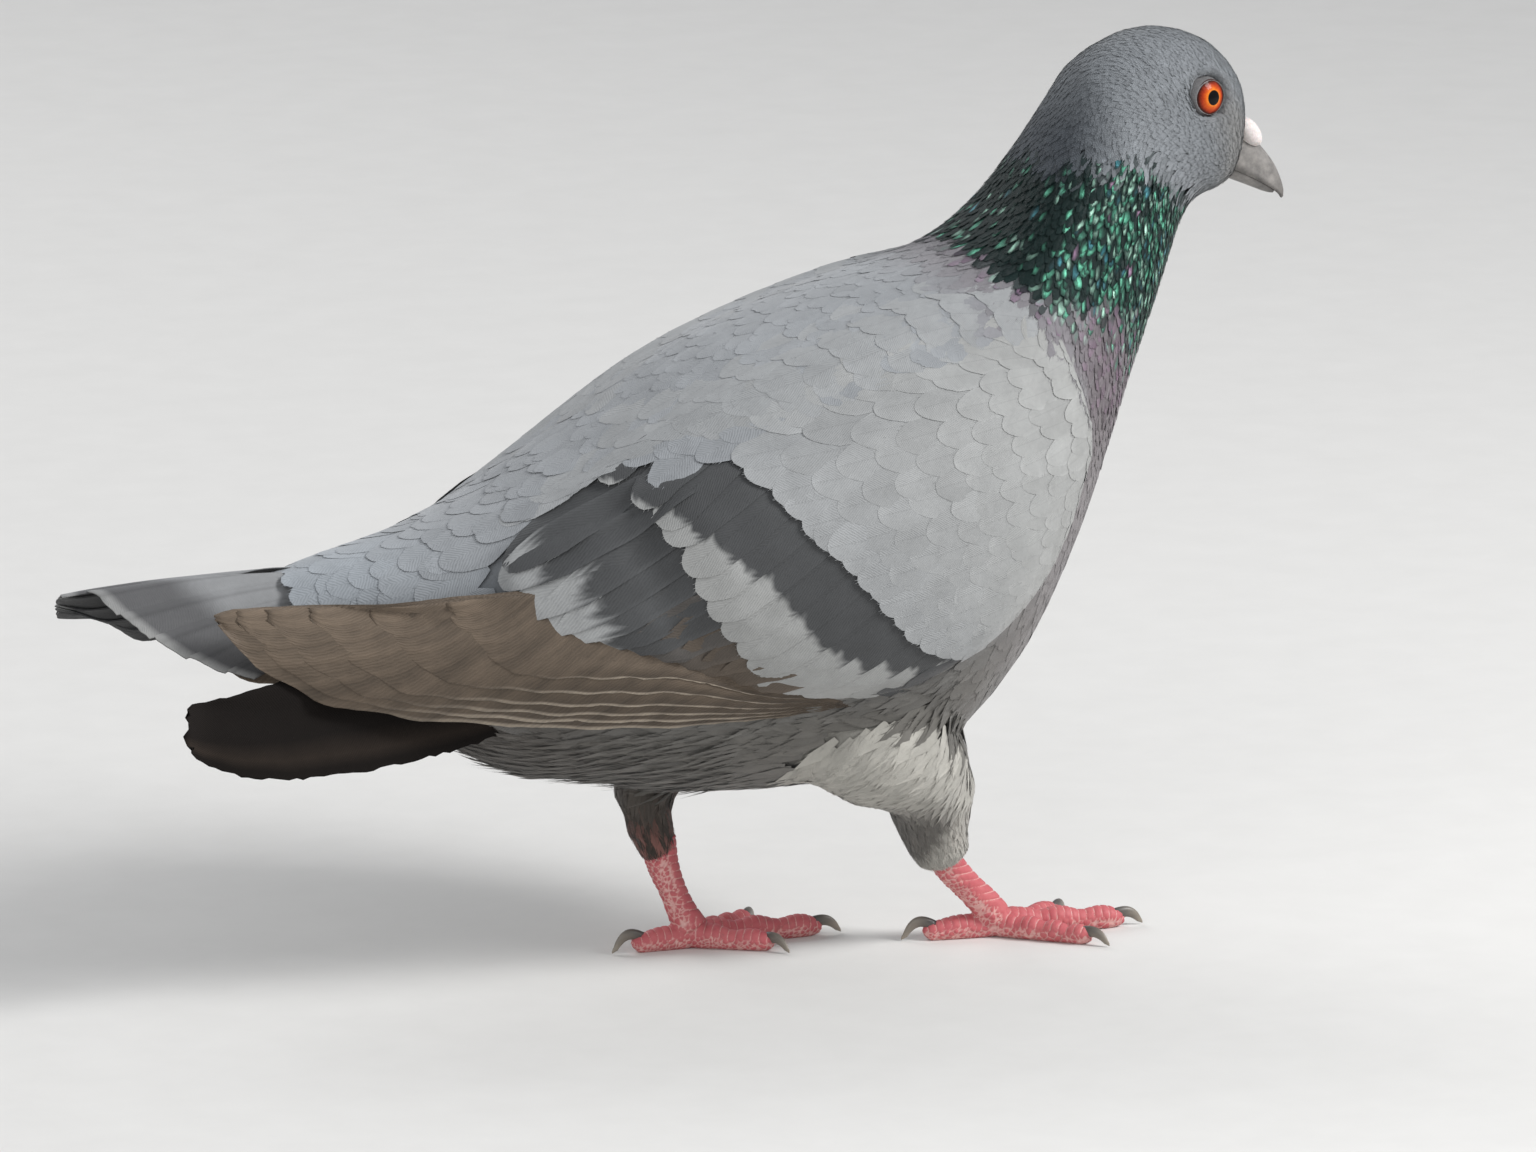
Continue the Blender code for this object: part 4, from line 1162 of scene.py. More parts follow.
def neck_paint(rng):
    """Neck feathers: near black, most with a painted green glint, and painted violet sheen at the edge of the
    band.
    """
    def paint(roots, u, v):
        n = len(roots)
        blur = rng.normal(0, 0.8, n)
        green, purple = iridescence(roots, blur)
        _place, fall = place_and_fall(roots)
        base = plumage(roots, blur)[:, None, :] * (1 + rng.normal(0, 0.12, (n, 1, 1)))
        hue = rng.random((n, 1, 1))
        # Painted glints: a patch of bright reflected colour near the tip of many feathers
        glints = [chosen("green"), PALE_MINT_GLINT, TEAL_LIT]
        glint = np.select([hue < 0.52, hue < 0.88, hue <= 0.985], glints, VIOLET_SHEEN)
        glint = glint * rng.uniform(0.7, 1.65, (n, 1, 1))
        often = 0.22 + 0.74 * smooth(0.06, 0.34, fall)
        shine = (rng.random(n) < often) * rng.uniform(0.6, 1.0, n) * green
        left, right = rng.uniform(0.20, 0.72, (2, n, 1))
        spot = smooth(0.36, 0.62, v) * smooth(1.0, 0.84, v)
        spot = spot * smooth(left, left - 0.35, -u) * smooth(right, right - 0.35, u)
        colour = blend(np.broadcast_to(base, (*u.shape, 3)), glint, spot * shine[:, None])
        # Violet tips at the lower edge of the band: painted sheen
        violet = np.array(VIOLET_SHEEN) * rng.uniform(0.7, 1.25, (n, 1, 1))
        edge = smooth(0.45, 0.85, v) * (purple * (rng.random(n) < 0.30))[:, None] * 0.4
        return np.clip(blend(colour, violet, edge), 0, 1)
    return paint


def make_neck_coat(rng):
    """Small glossy feathers round the neck."""
    spots, normals = body_roots(rng, 6.2, 11.8, 45000, Body.get())
    shine = iridescence(spots, rng.normal(0, 0.5, len(spots)))
    shown = on_neck(*shine, body_place(spots)[2]) > 0.05
    spots, normals = spots[shown], normals[shown]
    coat = Coat()
    flows = swayed(rng, tail_ward(spots, normals), normals, 0.12)
    vane = Vane(4, 3, tip_round=0.45, waist=0.5, crown=0.06, lift=(-0.50, 0.06), rag=0.3,
                barbs=4, barb_length=1.0, wobble=0.04, hug=True)
    length = by_place(LENGTH_AT, spots) * rng.uniform(0.9, 1.12, len(spots))
    width = by_place(WIDTH_AT, spots)
    coat.lay(rng, vane, Body.get(), spots, normals, flows, length, width, neck_paint(rng))
    coat.build("neck_coat", "neck", "neck_feathers")


def make_body_coat(rng):
    """Contour feathers of the mantle, shoulders, breast and rump."""
    Body.get()
    spots, normals = body_roots(rng, -0.6, 9.8, 30000, Body.back)
    place, fall = place_and_fall(spots)
    shine = iridescence(spots, rng.normal(0, 0.5, len(spots)))
    belly = (fall > 0.66 + rng.normal(0, 0.03, len(spots))) & (place < 5.4)
    shown = (on_neck(*shine, fall) < 0.6) & ~belly
    spots, normals = spots[shown], normals[shown]
    flows = swayed(rng, tail_ward(spots, normals), normals, 0.09)
    length = by_place(LENGTH_AT, spots) * rng.uniform(0.9, 1.12, len(spots))
    width = by_place(WIDTH_AT, spots) * rng.uniform(0.92, 1.08, len(spots))
    rump = body_place(spots)[0] < 2.4
    for name, some, tip, tuck in (("rump_coat", rump, 0.16, 0.05), ("body_coat", ~rump, 0.0, 0.12)):
        coat = Coat()
        vane = Vane(6, 8, tip_round=0.42, waist=0.45, crown=0.025, lift=(-0.42, tip), rag=0.30,
                    barbs=16, barb_length=1.3, wobble=0.02, tuck=tuck, hug=True)
        coat.lay(rng, vane, Body.back, spots[some], normals[some], flows[some], length[some], width[some],
                 tinted(rng, 0.04, 0.06, 0.05))
        coat.build(name, "body", "grey_feathers")


def make_belly_coat(rng):
    """Soft, narrow, hair-like feathers under the body and along the flanks."""
    def wanted(centre):
        place, fall = place_and_fall(centre)
        return (place > -2.2) & (place < 5.6) & (fall > 0.60)

    spots, normals = belly_roots(rng, wanted, 2.15, 22000)
    bare = ~((normals[:, 0] < -0.6) & (body_place(spots)[0] < -1.2))
    spots, normals = spots[bare], normals[bare]
    flows = swayed(rng, tail_ward(spots, normals), normals, 0.16)
    coat = Coat()
    vane = Vane(5, 2, tip_round=0.5, waist=0.5, crown=0.05, lift=(-0.55, 0.05), rag=0.5, barbs=7,
                barb_length=3.0, wobble=0.06, tuck=0.1)
    length = rng.uniform(10, 14, len(spots))
    coat.lay(rng, vane, Body.get(), spots, normals, flows, length, 4.0, tinted(rng, 0.07))
    coat.build("belly_coat", "body", "grey_feathers")


# The height in millimetres that the thighs' feathers point to, and how they lie at the flank
ANKLE_HEIGHT = 6.0
FLANK_LIE = (-0.72, 0, -0.69)


def thigh_tone(points, side):
    """The forward thigh is a pale bell, with painted shade behind. The rear one is dark with painted shade, a
    little lighter high up.
    """
    height = points[:, 2] / MM
    if side == RIGHT:
        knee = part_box("shank_right")[0][0] / MM
        ahead = points[:, 0] / MM - knee - 0.35 * (height - 25)
        front = np.maximum(smooth(-10, -4, ahead), smooth(36, 44, height))
        return blend(BELL_SHADE, BELL_WHITE, front)
    return blend(REAR_THIGH_DEEP_SHADE, REAR_THIGH_SHADE, smooth(30, 48, height))


def thigh_paint(rng, side):
    """A thigh's tones with their painted shade, and pink skin through the rear one's lowest feathers."""
    def paint(roots, u, v):
        n = len(roots)
        tone = 1 + rng.normal(0, 0.08, (n, 1, 1))
        colour = thigh_tone(roots, side)
        if side == LEFT:
            pink = smooth(0.45, 0.6, rng.random(n)) * smooth(42, 22, roots[:, 2] / MM)
            colour = blend(colour, THIGH_PINK, pink)
        colour = colour[:, None, :] * tone
        return np.clip(colour * (0.92 + 0.12 * v[..., None]), 0, 1)
    return paint


def make_thigh_coat(rng, side):
    """Loose feathers of one thigh, drawn in toward the ankle."""
    form, word = Body.get(), SIDE_WORDS[side]

    def spacing(points):
        return np.interp(points[:, 2] / MM, (20, 34, 50), (0.85, 1.25, 1.9)) * MM

    spots, normals = scatter(rng, form, lambda centre: near_thigh(centre, side), spacing, 16000)
    leg = Body.part_at(spots) == "thigh_" + word
    spots, normals = spots[leg], normals[leg]
    ankle = np.mean(node_box("shank_" + word), axis=0) * (1, 1, 0) + (0, 0, ANKLE_HEIGHT * MM)
    height = spots[:, 2] / MM
    loose = smooth(36, 46, height)[:, None]
    flows = unit(ankle - spots) * (1 - loose) + np.array(FLANK_LIE) * loose
    flows = swayed(rng, flat_on(flows, normals), normals, 0.12)
    length = np.interp(height, (20, 26, 40, 55), (2.6, 4.5, 8.5, 14)) * rng.uniform(0.8, 1.15, len(spots))
    width = np.interp(height, (20, 30, 50), (0.9, 1.5, 3.2))
    coat = Coat()
    vane = Vane(4, 2, tip_round=0.5, waist=0.5, crown=0.05, lift=(-0.5, 0.05), rag=0.4,
                barbs=5, barb_length=2.2, wobble=0.03, tuck=0.08)
    coat.lay(rng, vane, form, spots, normals, flows, length, width, thigh_paint(rng, side))
    coat.build("thigh_coat_" + word, "body", "grey_feathers")


def make_fringe(rng):
    """Loose, hair-like feathers that hang along the belly, behind the thighs and under the vent."""
    def wanted(centre):
        place, fall = place_and_fall(centre)
        return (place > -1.7) & (place < 3.4) & (fall > 0.80)

    spots, normals = belly_roots(rng, wanted, 2.3, 9000)
    flows = tail_ward(spots, normals) + normals * rng.uniform(0.05, 0.32, (len(spots), 1))
    flows[:, 2] -= rng.uniform(0.0, 0.25, len(spots))
    coat = Coat()
    vane = Vane(4, 2, tip_round=0.6, waist=0.4, crown=0.1, lift=(-0.5, 0.9), rag=0.6, barbs=6,
                barb_length=5.0, wobble=0.35)
    length = rng.uniform(8, 14, len(spots))
    coat.lay(rng, vane, Body.get(), spots, normals, unit(flows), length, 1.7, tinted(rng, 0.12))
    coat.build("belly_fringe", "body", "grey_feathers")


# ---- wings

def along_path(path, shares):
    """Points along a path of the side view, by share of its length."""
    path = np.asarray(path, float)
    runs = np.concatenate([[0], np.cumsum(np.linalg.norm(np.diff(path, axis=0), axis=1))])
    at = np.asarray(shares) * runs[-1]
    return np.stack([np.interp(at, runs, path[:, k]) for k in (0, 1)], axis=1)


# Rows of the folded wing in the side view, (x, z) from the body's zero: from the back down
MEDIAN_TIPS = ((-55, 135), (-37.5, 132), (-23, 120), (-8, 103.4), (4, 90), (12, 83), (24, 78))
LEADING_EDGE = ((40, 154), (52, 150), (58.5, 131), (56, 117), (50, 102), (44, 93), (38, 86.5))
GREATER_TIPS = ((-62, 126), (-53, 118), (-44.5, 102), (-39.5, 92), (-31.5, 82), (-26, 73.5), (-14, 70.2),
                (-1, 69.8), (12, 72.5))
GREATER_ROOTS = ((-36, 146), (-24, 137), (-8, 120), (4, 107), (15, 96), (23, 88), (31, 83), (36, 82),
                 (42, 85))
DARK_BAR_EDGE = ((-58, 125), (-46, 116), (-36, 110), (-28, 104), (-21.6, 96.5), (-14, 88), (-4, 83),
                 (6, 80.5), (18, 80))
SECONDARY_TIPS = ((-85, 108), (-87, 99), (-82, 91), (-70, 87.5), (-57, 85), (-45, 81), (-33, 75.5))
SECONDARY_ROOTS = ((-48, 134), (-43, 126), (-37, 117), (-31, 107), (-24, 97), (-16, 88), (-8, 80))
PALE_PATCH_EDGE = ((-94, 102), (-85, 106), (-69, 106), (-64, 98), (-57, 87), (-54, 79))
SCAPULAR_INNER = ((46, 163), (22, 161), (0, 155), (-30, 144), (-60, 127), (-84, 111))
SCAPULAR_OUTER = ((50, 153), (33, 151), (14, 146), (-4, 139.5), (-27, 136), (-53, 129), (-72, 117))


# How close in millimetres a shaft must pass to meet a line, and a share past every feather's tip
NEAR_LINE = 2.5
NEVER = 2.0


def crossings(roots, tips, edge):
    """For each feather, the share of its length at which its shaft meets a line of the side view."""
    line = along_path(edge, np.linspace(0, 1, 200))
    found = []
    for root, tip in zip(np.asarray(roots, float), np.asarray(tips, float)):
        way = tip - root
        length = np.linalg.norm(way)
        across = np.abs(np.cross(line - root, way / length))
        near = int(np.argmin(across))
        share = ((line[near] - root) @ way) / length**2
        found.append(share if across[near] < NEAR_LINE else NEVER)
    return np.array(found)


def wing_lay(coat, rng, vane, roots, tips, width, paint, sway=0.0, over=False):
    """Lays feathers on the right wing between roots and tips of the side view."""
    form = Body.get()
    spots, normals = form.from_right(roots, over)
    ends, _ = form.from_right(tips, over)
    length = np.linalg.norm(ends - spots, axis=1) / MM
    flows = flat_on(ends - spots, normals)
    if sway:
        flows = swayed(rng, flows, normals, sway)
    coat.lay(rng, vane, form, spots, normals, flows, length * 1.01, width, paint)


def wing_paint(rng, base, tip=None, start=0.6, soft=0.07, spread=0.03, edge=0.06, slant=0.0, ragged=0.02):
    """One tone at a feather's base and another past its start, with a faint paler margin."""
    tip = base if tip is None else tip

    def paint(roots, u, v):
        n = len(roots)
        tone = 1 + rng.normal(0, spread, (n, 1, 1))
        begin = np.broadcast_to(start, n)[:, None] + rng.normal(0, ragged, (n, 1))
        waves = 0.6 * ragged * (np.sin(u * 9 + begin * 40) + np.sin(u * 17 + begin * 90))
        share = smooth(0, soft, v - begin + slant * u - 0.04 * u**2 + waves)
        colour = blend(base, tip, share) * tone
        margin = smooth(0.80, 1.0, np.maximum(np.abs(u), (v - 0.9) * 10))[..., None]
        return np.clip(colour * (1 + edge * margin) * (0.95 + 0.07 * v[..., None]), 0, 1)
    return paint


# Rows of lesser and median coverts and of scapulars, and the feathers in the wing's long rows
COVERT_ROWS = 11
SCAPULAR_ROWS = 13
GREATERS = 17
SECONDARIES = 12


def make_covert_coat(rng):
    """Lesser, median and greater coverts of one wing, each row over the one behind it."""
    coat = Coat()
    for row in range(COVERT_ROWS):
        share = (row / (COVERT_ROWS - 1)) ** 0.92
        width = 13.5 + (6.0 - 13.5) * share
        length = 24 + (10 - 24) * share
        path_t = along_path(MEDIAN_TIPS, np.linspace(0, 1, 40)) * (1 - share)
        path_t += along_path(LEADING_EDGE, np.linspace(0, 1, 40)) * share
        run = np.linalg.norm(np.diff(path_t, axis=0), axis=1).sum()
        count = max(6, int(run / (width * (0.34 if row == 0 else 0.54))))
        at = (np.arange(count) + (0.25 if row % 2 else 0.75)) / count
        at = np.clip(at + rng.normal(0, 0.06 / count, count), 0, 1)
        back, lead = along_path(MEDIAN_TIPS, at), along_path(LEADING_EDGE, at)
        tips = back * (1 - share) + lead * share
        tips += rng.normal(0, 0.35 if row == 0 else 0.5, tips.shape)
        way = unit(lead - back)
        room = np.linalg.norm(lead - tips, axis=1, keepdims=True) + 2.5
        roots = tips + way * np.minimum(length * rng.uniform(0.94, 1.06, (count, 1)), room)
        vane = Vane(8, 8, tip_round=0.36, waist=0.6, crown=0.012, lift=(-0.38, 0.0), rag=0.15, barbs=12,
                    barb_length=0.9, tilt=0.04, point=2.3, wobble=0.015, tuck=0.06 if row == 0 else 0.13,
                    hug=True)
        tone = blend(chosen("ash"), ASH_PALE, 0.45 + 0.55 * share)
        paint = wing_paint(rng, tone, spread=0.035, edge=0.11)
        wing_lay(coat, rng, vane, roots, tips, width, paint, sway=0.03, over=True)
    at = (np.arange(GREATERS) + 0.5) / GREATERS
    tips, roots = along_path(GREATER_TIPS, at), along_path(GREATER_ROOTS, at)
    start = crossings(roots, tips, DARK_BAR_EDGE)
    vane = Vane(30, 10, tip_round=0.16, waist=0.8, crown=0.02, lift=(-1.05, -0.05), rag=0.2, barbs=12,
                barb_length=0.8, tilt=0.24, point=2.6, wobble=0.02, tuck=0.05, hug=True)
    paint = wing_paint(rng, chosen("bar"), blend(ASH_PALE, chosen("ash"), 0.1), start=start, soft=0.018,
                       edge=0.04, slant=0.03, ragged=0.012)
    wing_lay(coat, rng, vane, roots, tips, 11.5, paint)
    return coat


def make_scapular_coat(rng):
    """Long soft feathers that lie over the wing's inner edge."""
    coat = Coat()
    for row in range(SCAPULAR_ROWS):
        share = row / (SCAPULAR_ROWS - 1)
        at = 0.10 + 0.90 * share
        both = [at, max(at - 0.16, 0.0)]
        inner, outer = along_path(SCAPULAR_INNER, both), along_path(SCAPULAR_OUTER, both)
        count = 5 if row < 9 else 4
        c = ((np.arange(count) + (0.3 if row % 2 else 0.7)) / count)[:, None]
        tips, starts = (inner[k] * (1 - c) + outer[k] * c for k in (0, 1))
        reach = np.interp(share, (0, 0.4, 1), (13, 22, 29))
        roots = tips + unit(starts - tips + 1e-6) * reach
        vane = Vane(8, 8, tip_round=0.36, waist=0.55, crown=0.012, lift=(-0.42, 0.06), rag=0.2, barbs=14,
                    barb_length=1.1, tilt=0.04, point=2.2, wobble=0.02, tuck=0.14, hug=True)
        tone = blend(chosen("ash"), ASH_PALE, 0.4)
        wing_lay(coat, rng, vane, roots, tips, np.interp(share, (0, 1), (10.5, 14)),
                 wing_paint(rng, tone, spread=0.03), sway=0.05, over=True)
    return coat


def make_secondary_coat(rng):
    """Secondaries and tertials: dark, with a pale patch at the tips of the upper ones."""
    coat = Coat()
    at = (np.arange(SECONDARIES) + 0.4) / SECONDARIES
    tips, roots = along_path(SECONDARY_TIPS, at), along_path(SECONDARY_ROOTS, at)
    start = crossings(roots, tips, PALE_PATCH_EDGE)
    vane = Vane(30, 10, tip_round=0.30, waist=0.8, crown=0.03, lift=(-1.35, -0.35), rag=0.08, barbs=10,
                barb_length=0.5, tilt=0.30, point=2.4, wobble=0.02)
    dark = blend(chosen("bar"), chosen("brown"), smooth(0.50, 0.80, at) * 0.75)[:, None]
    paint = wing_paint(rng, dark, blend(ASH_PALE, chosen("ash"), 0.4), start=start, soft=0.06, edge=0.22,
                       spread=0.07, slant=-0.05, ragged=0.025)
    wing_lay(coat, rng, vane, roots, tips, 14.5, paint)
    return coat


# Where the points of a flight feather lie across it: close together at the edge that shows
FINE_EDGE = np.array((0, 0.014, 0.035, 0.08, 0.2, 0.4, 0.6, 0.8, 0.94, 1))


def add_blade(coat, rng, surface, low, high, height, paint, bow, rag, thick, fray, rows=60):
    """Adds a long flight feather between two edges of the side view, as a closed thin solid."""
    shares, u = np.linspace(0, 1, rows + 1), FINE_EDGE
    lows, highs = along_path(low, shares), along_path(high, shares)
    flat = (lows[:, None] * (1 - u[None, :, None]) + highs[:, None] * u[None, :, None]).reshape(-1, 2)
    spots, _normals = surface.from_right(flat)
    spots[:, 0], spots[:, 2] = (flat[:, 0] + BODY_ZERO) * MM, flat[:, 1] * MM
    spots = spots.reshape(rows + 1, len(u), 3)
    y = spots[..., 1]
    for _ in range(6):
        y[1:-1] = (y[:-2] + 2 * y[1:-1] + y[2:]) / 4
    root = spots[:1, len(u) // 2 - 1].copy()
    y += RIGHT * (height + bow * (1 - (2 * u - 1) ** 2)) * MM
    ragged = rng.uniform(-rag, rag, (2, rows + 1)) * MM
    spots[:, 0, 2] += ragged[0]
    spots[:, -1, 2] += ragged[1] * 0.5
    spots[-1, :, 0] += rng.uniform(-0.3, 1.0, len(u)) * fray * MM
    tufts = shell_tufts(u, shares)
    coat.add_shell(spots, root, 1, RIGHT * thick / 2, tufts, paint(tufts[..., 0] * 2 - 1, tufts[..., 1]))


def shell_tufts(across, along):
    """Where the points of a shell's two sheets lie across and along their feather."""
    grid = np.stack(np.broadcast_arrays(across[None, :], along[:, None]), axis=2).reshape(-1, 2)
    return np.concatenate([grid, grid])[None]


def shell_quads(rows, columns):
    """The faces of a closed thin solid made of two grids, one over the other."""
    m = (rows + 1) * (columns + 1)
    quads = grid_quads(rows, columns)
    ring = np.concatenate([
        np.arange(columns + 1), np.arange(1, rows + 1) * (columns + 1) + columns,
        rows * (columns + 1) + np.arange(columns - 1, -1, -1), np.arange(rows - 1, 0, -1) * (columns + 1),
    ])
    after = np.roll(ring, -1)
    walls = np.stack([after, ring, ring + m, after + m], axis=1)
    return np.concatenate([quads, quads[:, ::-1] + m, walls])


# The edges of the folded primaries in the side view, from their roots back
PRIMARY_LOWER = ((0, 67.5), (-20, 66.0), (-50, 65.5), (-76, 66.8), (-107, 70.8), (-131, 76.5), (-146, 86),
                 (-155, 96.5))
PRIMARY_UPPER = ((0, 71.5), (-20, 78), (-31, 82), (-50, 93), (-62, 98), (-80, 101), (-92, 100.5),
                 (-112, 99.5), (-142, 99.4), (-151, 99.2), (-156, 97.8))
# Each primary's end, and how far its lower edge lies above the wing's own, half way along
PRIMARY_LAYERS = ((-155, 0.0), (-150, 1.9), (-143, 3.9), (-133, 6.4), (-119, 9.8), (-101, 13.6))


def make_primary_coat(rng):
    """Folded primaries, the shorter ones over the longer, with their pale lower edges in a stack."""
    surface = Surface(*node_arrays("primaries_right"))
    coat = Coat()
    lower = along_path(PRIMARY_LOWER, np.linspace(0, 1, 160))[::-1]
    upper = along_path(PRIMARY_UPPER, np.linspace(0, 1, 160))[::-1]
    for layer, (end, lift) in enumerate(PRIMARY_LAYERS):
        x = np.linspace(-1 - layer * 0.8, end, 70)
        shift = end - PRIMARY_LAYERS[0][0]
        rise = lift * (0.35 * smooth(0, -18, x) + 0.65 * smooth(-15, -52, x))
        edge = np.maximum(np.interp(x, lower[:, 0], lower[:, 1]) + rise,
                          np.interp(x - shift, lower[:, 0], lower[:, 1]))
        edge += 0.25 * np.sin(x * (0.31 + 0.05 * layer) + layer * 2) * smooth(-25, -60, x)
        top = np.interp(x, upper[:, 0], upper[:, 1]) - 0.15 * layer
        top = np.maximum(top, edge + 0.5)

        def paint(u, v):
            edge_share = smooth(-0.925, -0.975, u) * smooth(0.05, 0.2, v) * smooth(0.80, 0.5, v)
            colour = blend(chosen("brown"), BROWN_EDGE, edge_share * 0.8) * (1 + rng.normal(0, 0.05))
            shade = (smooth(-0.62, -0.93, u) * smooth(0.80, 0.5, v))[..., None] * 0.35
            worn = smooth(0.80, 1.0, v)[..., None]
            return np.clip(colour * (1 - shade * (1 - edge_share[..., None])) * (1 + 0.4 * worn), 0, 1)

        add_blade(coat, rng, surface, np.stack([x, edge], axis=1), np.stack([x, top], axis=1),
                  -0.2 + layer * 0.24, paint, bow=0.25, rag=0.16, thick=0.2, fray=0.9)
    return coat


def both_sides(coat, name, finish, slot_name, node, droop=0.0):
    """Makes a wing's piece on the right, and its mirror image on the left with its end a little lower."""
    for side, word in SIDE_WORDS.items():
        if side == LEFT:
            for points in coat.points:
                points[:, 2] -= droop * MM * smooth(-50, -140, points[:, 0] / MM - BODY_ZERO)
        made = coat.build(name + "_" + word, finish, slot_name, mirrored=side == LEFT)
        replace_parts(made, node + "_" + word)


# ---- tail

TAIL_FEATHERS = 5
# How far the outer feathers' ends lie ahead of the middle ones', in millimetres
TAIL_FAN = {RIGHT: 36.0, LEFT: 8.0}
TAIL_DROOP = {RIGHT: 13.0, LEFT: 0.0}
TAIL_HALF = 0.16
UNDER_SHADE = 0.12


def make_tail(rng, side):
    """The rectrices of one half of the tail, each a closed blade that follows the fan."""
    word = SIDE_WORDS[side]
    low, high = node_box("tail_" + word)
    tree = Surface(*node_arrays("tail_" + word)).tree
    coat = Coat()
    count, rows, columns = TAIL_FEATHERS, 36, 10
    root_x, end_x = high[0], low[0]
    outer_y = abs((low if side == RIGHT else high)[1])
    v = np.linspace(0, 1, rows + 1) ** 0.85
    for k in range(count):
        near, far = max((k - 0.22) / count, 0.0), min((k + 1.22) / count, 1.0)
        u = np.linspace(near, far, columns + 1)
        middle = (k + 0.5) / count
        shorter = TAIL_FAN[side] * MM * np.abs(middle + (u - middle) * 0.85) ** 1.3
        tip = end_x + shorter + 1.0 * MM + 1.3 * MM * np.abs((u - middle) * count * 0.72) ** 2.4
        x = root_x + (tip[None, :] - root_x) * v[:, None]
        open_share = np.clip((root_x - x) / (root_x - end_x), 0, 1)
        half = outer_y * (0.31 + 0.69 * open_share ** 1.5 * 1.06)
        y = side * np.clip(np.abs(u)[None, :] * half, 0.2 * MM, outer_y - 0.1 * MM)
        if k == 0 and side == RIGHT:
            y = y + np.linspace(1.6, 0, columns + 1)[None] * MM
        spots = np.stack([x, y, np.zeros_like(x)], axis=2)
        for spot in spots.reshape(-1, 3):
            hit = tree.ray_cast((spot[0], spot[1], 0.16), (0, 0, -1))[0]
            if hit is None:
                hit = tree.find_nearest((spot[0], spot[1], 0.1))[0]
            spot[2] = hit[2]
        z = spots[..., 2]
        for _ in range(6):
            z[1:-1] = (z[:-2] + 2 * z[1:-1] + z[2:]) / 4
            z[:, 1:-1] = (z[:, :-2] + 2 * z[:, 1:-1] + z[:, 2:]) / 4
        z -= TAIL_DROOP[side] * MM * u[None, :] ** 1.6 * open_share
        root = spots[:1, columns // 2].copy()
        arch = 0.35 * (1 - ((u - middle) * count / 0.72) ** 2)
        z += ((count - 1 - k) * 0.30 - 0.7 + arch) * MM
        spots[-1, :, 0] += rng.uniform(-0.35, 0.35, columns + 1) * MM
        tufts = shell_tufts(np.linspace(0, 1, columns + 1), v)
        across, along = tufts[0].T
        colour = blend(chosen("tail"), TAIL_BAND, smooth(0.66, 0.80, along))
        colour = blend(colour, TAIL_FRINGE, smooth(0.965, 0.985, along) * 0.8)
        shaft = smooth(0.09, 0.02, np.abs(across - 0.5)) * 0.2
        colour = colour * (1 - shaft)[:, None] * (1 + rng.normal(0, 0.03))
        colour = colour * np.repeat((1.0, UNDER_SHADE), len(colour) // 2)[:, None]
        coat.add_shell(spots, root, 2, TAIL_HALF, tufts, colour[None], flip=side == LEFT)
    made = coat.build("tail_feathers_" + word, "tail", "grey_feathers")
    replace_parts(made, "tail_" + word)


# The low tail feather's edges in the side view, from its root back
LOW_FEATHER_TOP = ((-60, 76), (-80, 81), (-105, 84), (-125, 84.5), (-142, 82), (-155, 80.3), (-164, 79.6),
                   (-166.5, 77.5))
LOW_FEATHER_BOTTOM = ((-60, 72), (-80, 65), (-100, 60.5), (-120, 58.8), (-140, 59.2), (-153, 62),
                      (-163, 66.5), (-166.5, 70))


def make_low_feather(rng):
    """The outer tail feather that hangs below the wing tip, near black with painted shade, with its shaft
    along it.
    """
    surface = Surface(*node_arrays("tail_feather_low"))
    coat = Coat()

    def paint(u, v):
        # Painted shade: the whole feather near black, its shaft line a little less dark
        shaft = smooth(0.16, 0.04, np.abs(u + 0.55))
        colour = blend(LOW_SHADED, LOW_SHADED_SHAFT, shaft * 0.5)
        return np.clip(colour * (1 + 0.5 * smooth(0.9, 1.0, v)[..., None]), 0, 1)

    add_blade(coat, rng, surface, LOW_FEATHER_BOTTOM, LOW_FEATHER_TOP, -0.5, paint, bow=0.3, rag=0.45,
              thick=0.3, fray=2.2)
    made = coat.build("tail_feather_low_vane", "dark_tail", "bar_feathers")
    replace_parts(made, "tail_feather_low")


# ---- legs, claws, bill and eyes

# Leg lines from the body's zero: (x, y, z, radius), from inside the feathers to the foot's ball
SHANK_LINES = {
    RIGHT: ((30.0, -12.4, 25.5, 4.2), (33.6, -11.5, 19.4, 3.9), (39.0, -10.3, 13.4, 3.55),
            (43.5, -9.2, 8.9, 3.8), (46.8, -8.6, 4.9, 4.1)),
    LEFT: ((-32.6, 10.4, 27.0, 4.4), (-31.6, 9.8, 20.6, 3.9), (-29.6, 8.7, 14.5, 3.35),
           (-27.6, 7.7, 9.2, 3.6), (-25.4, 7.1, 4.9, 4.1)),
}
TOE_RADII = {"middle": (3.5, 2.5), "inner": (3.1, 2.3), "outer": (3.1, 2.2), "hind": (3.1, 2.4)}
TOE_JOINTS = {"middle": 3, "inner": 2, "outer": 4, "hind": 1}
# In millimetres: how far the soles are pressed flat, the length of a plate, the edge of a small scale, and
# the height of both. The last is how many points of the mesh there are to each small scale.
SOLE_SINK = 0.35
PLATE = 1.9
SCALE_EDGE = 0.75
SCALE_RISE = 0.42
SCALE_SHARE = 16


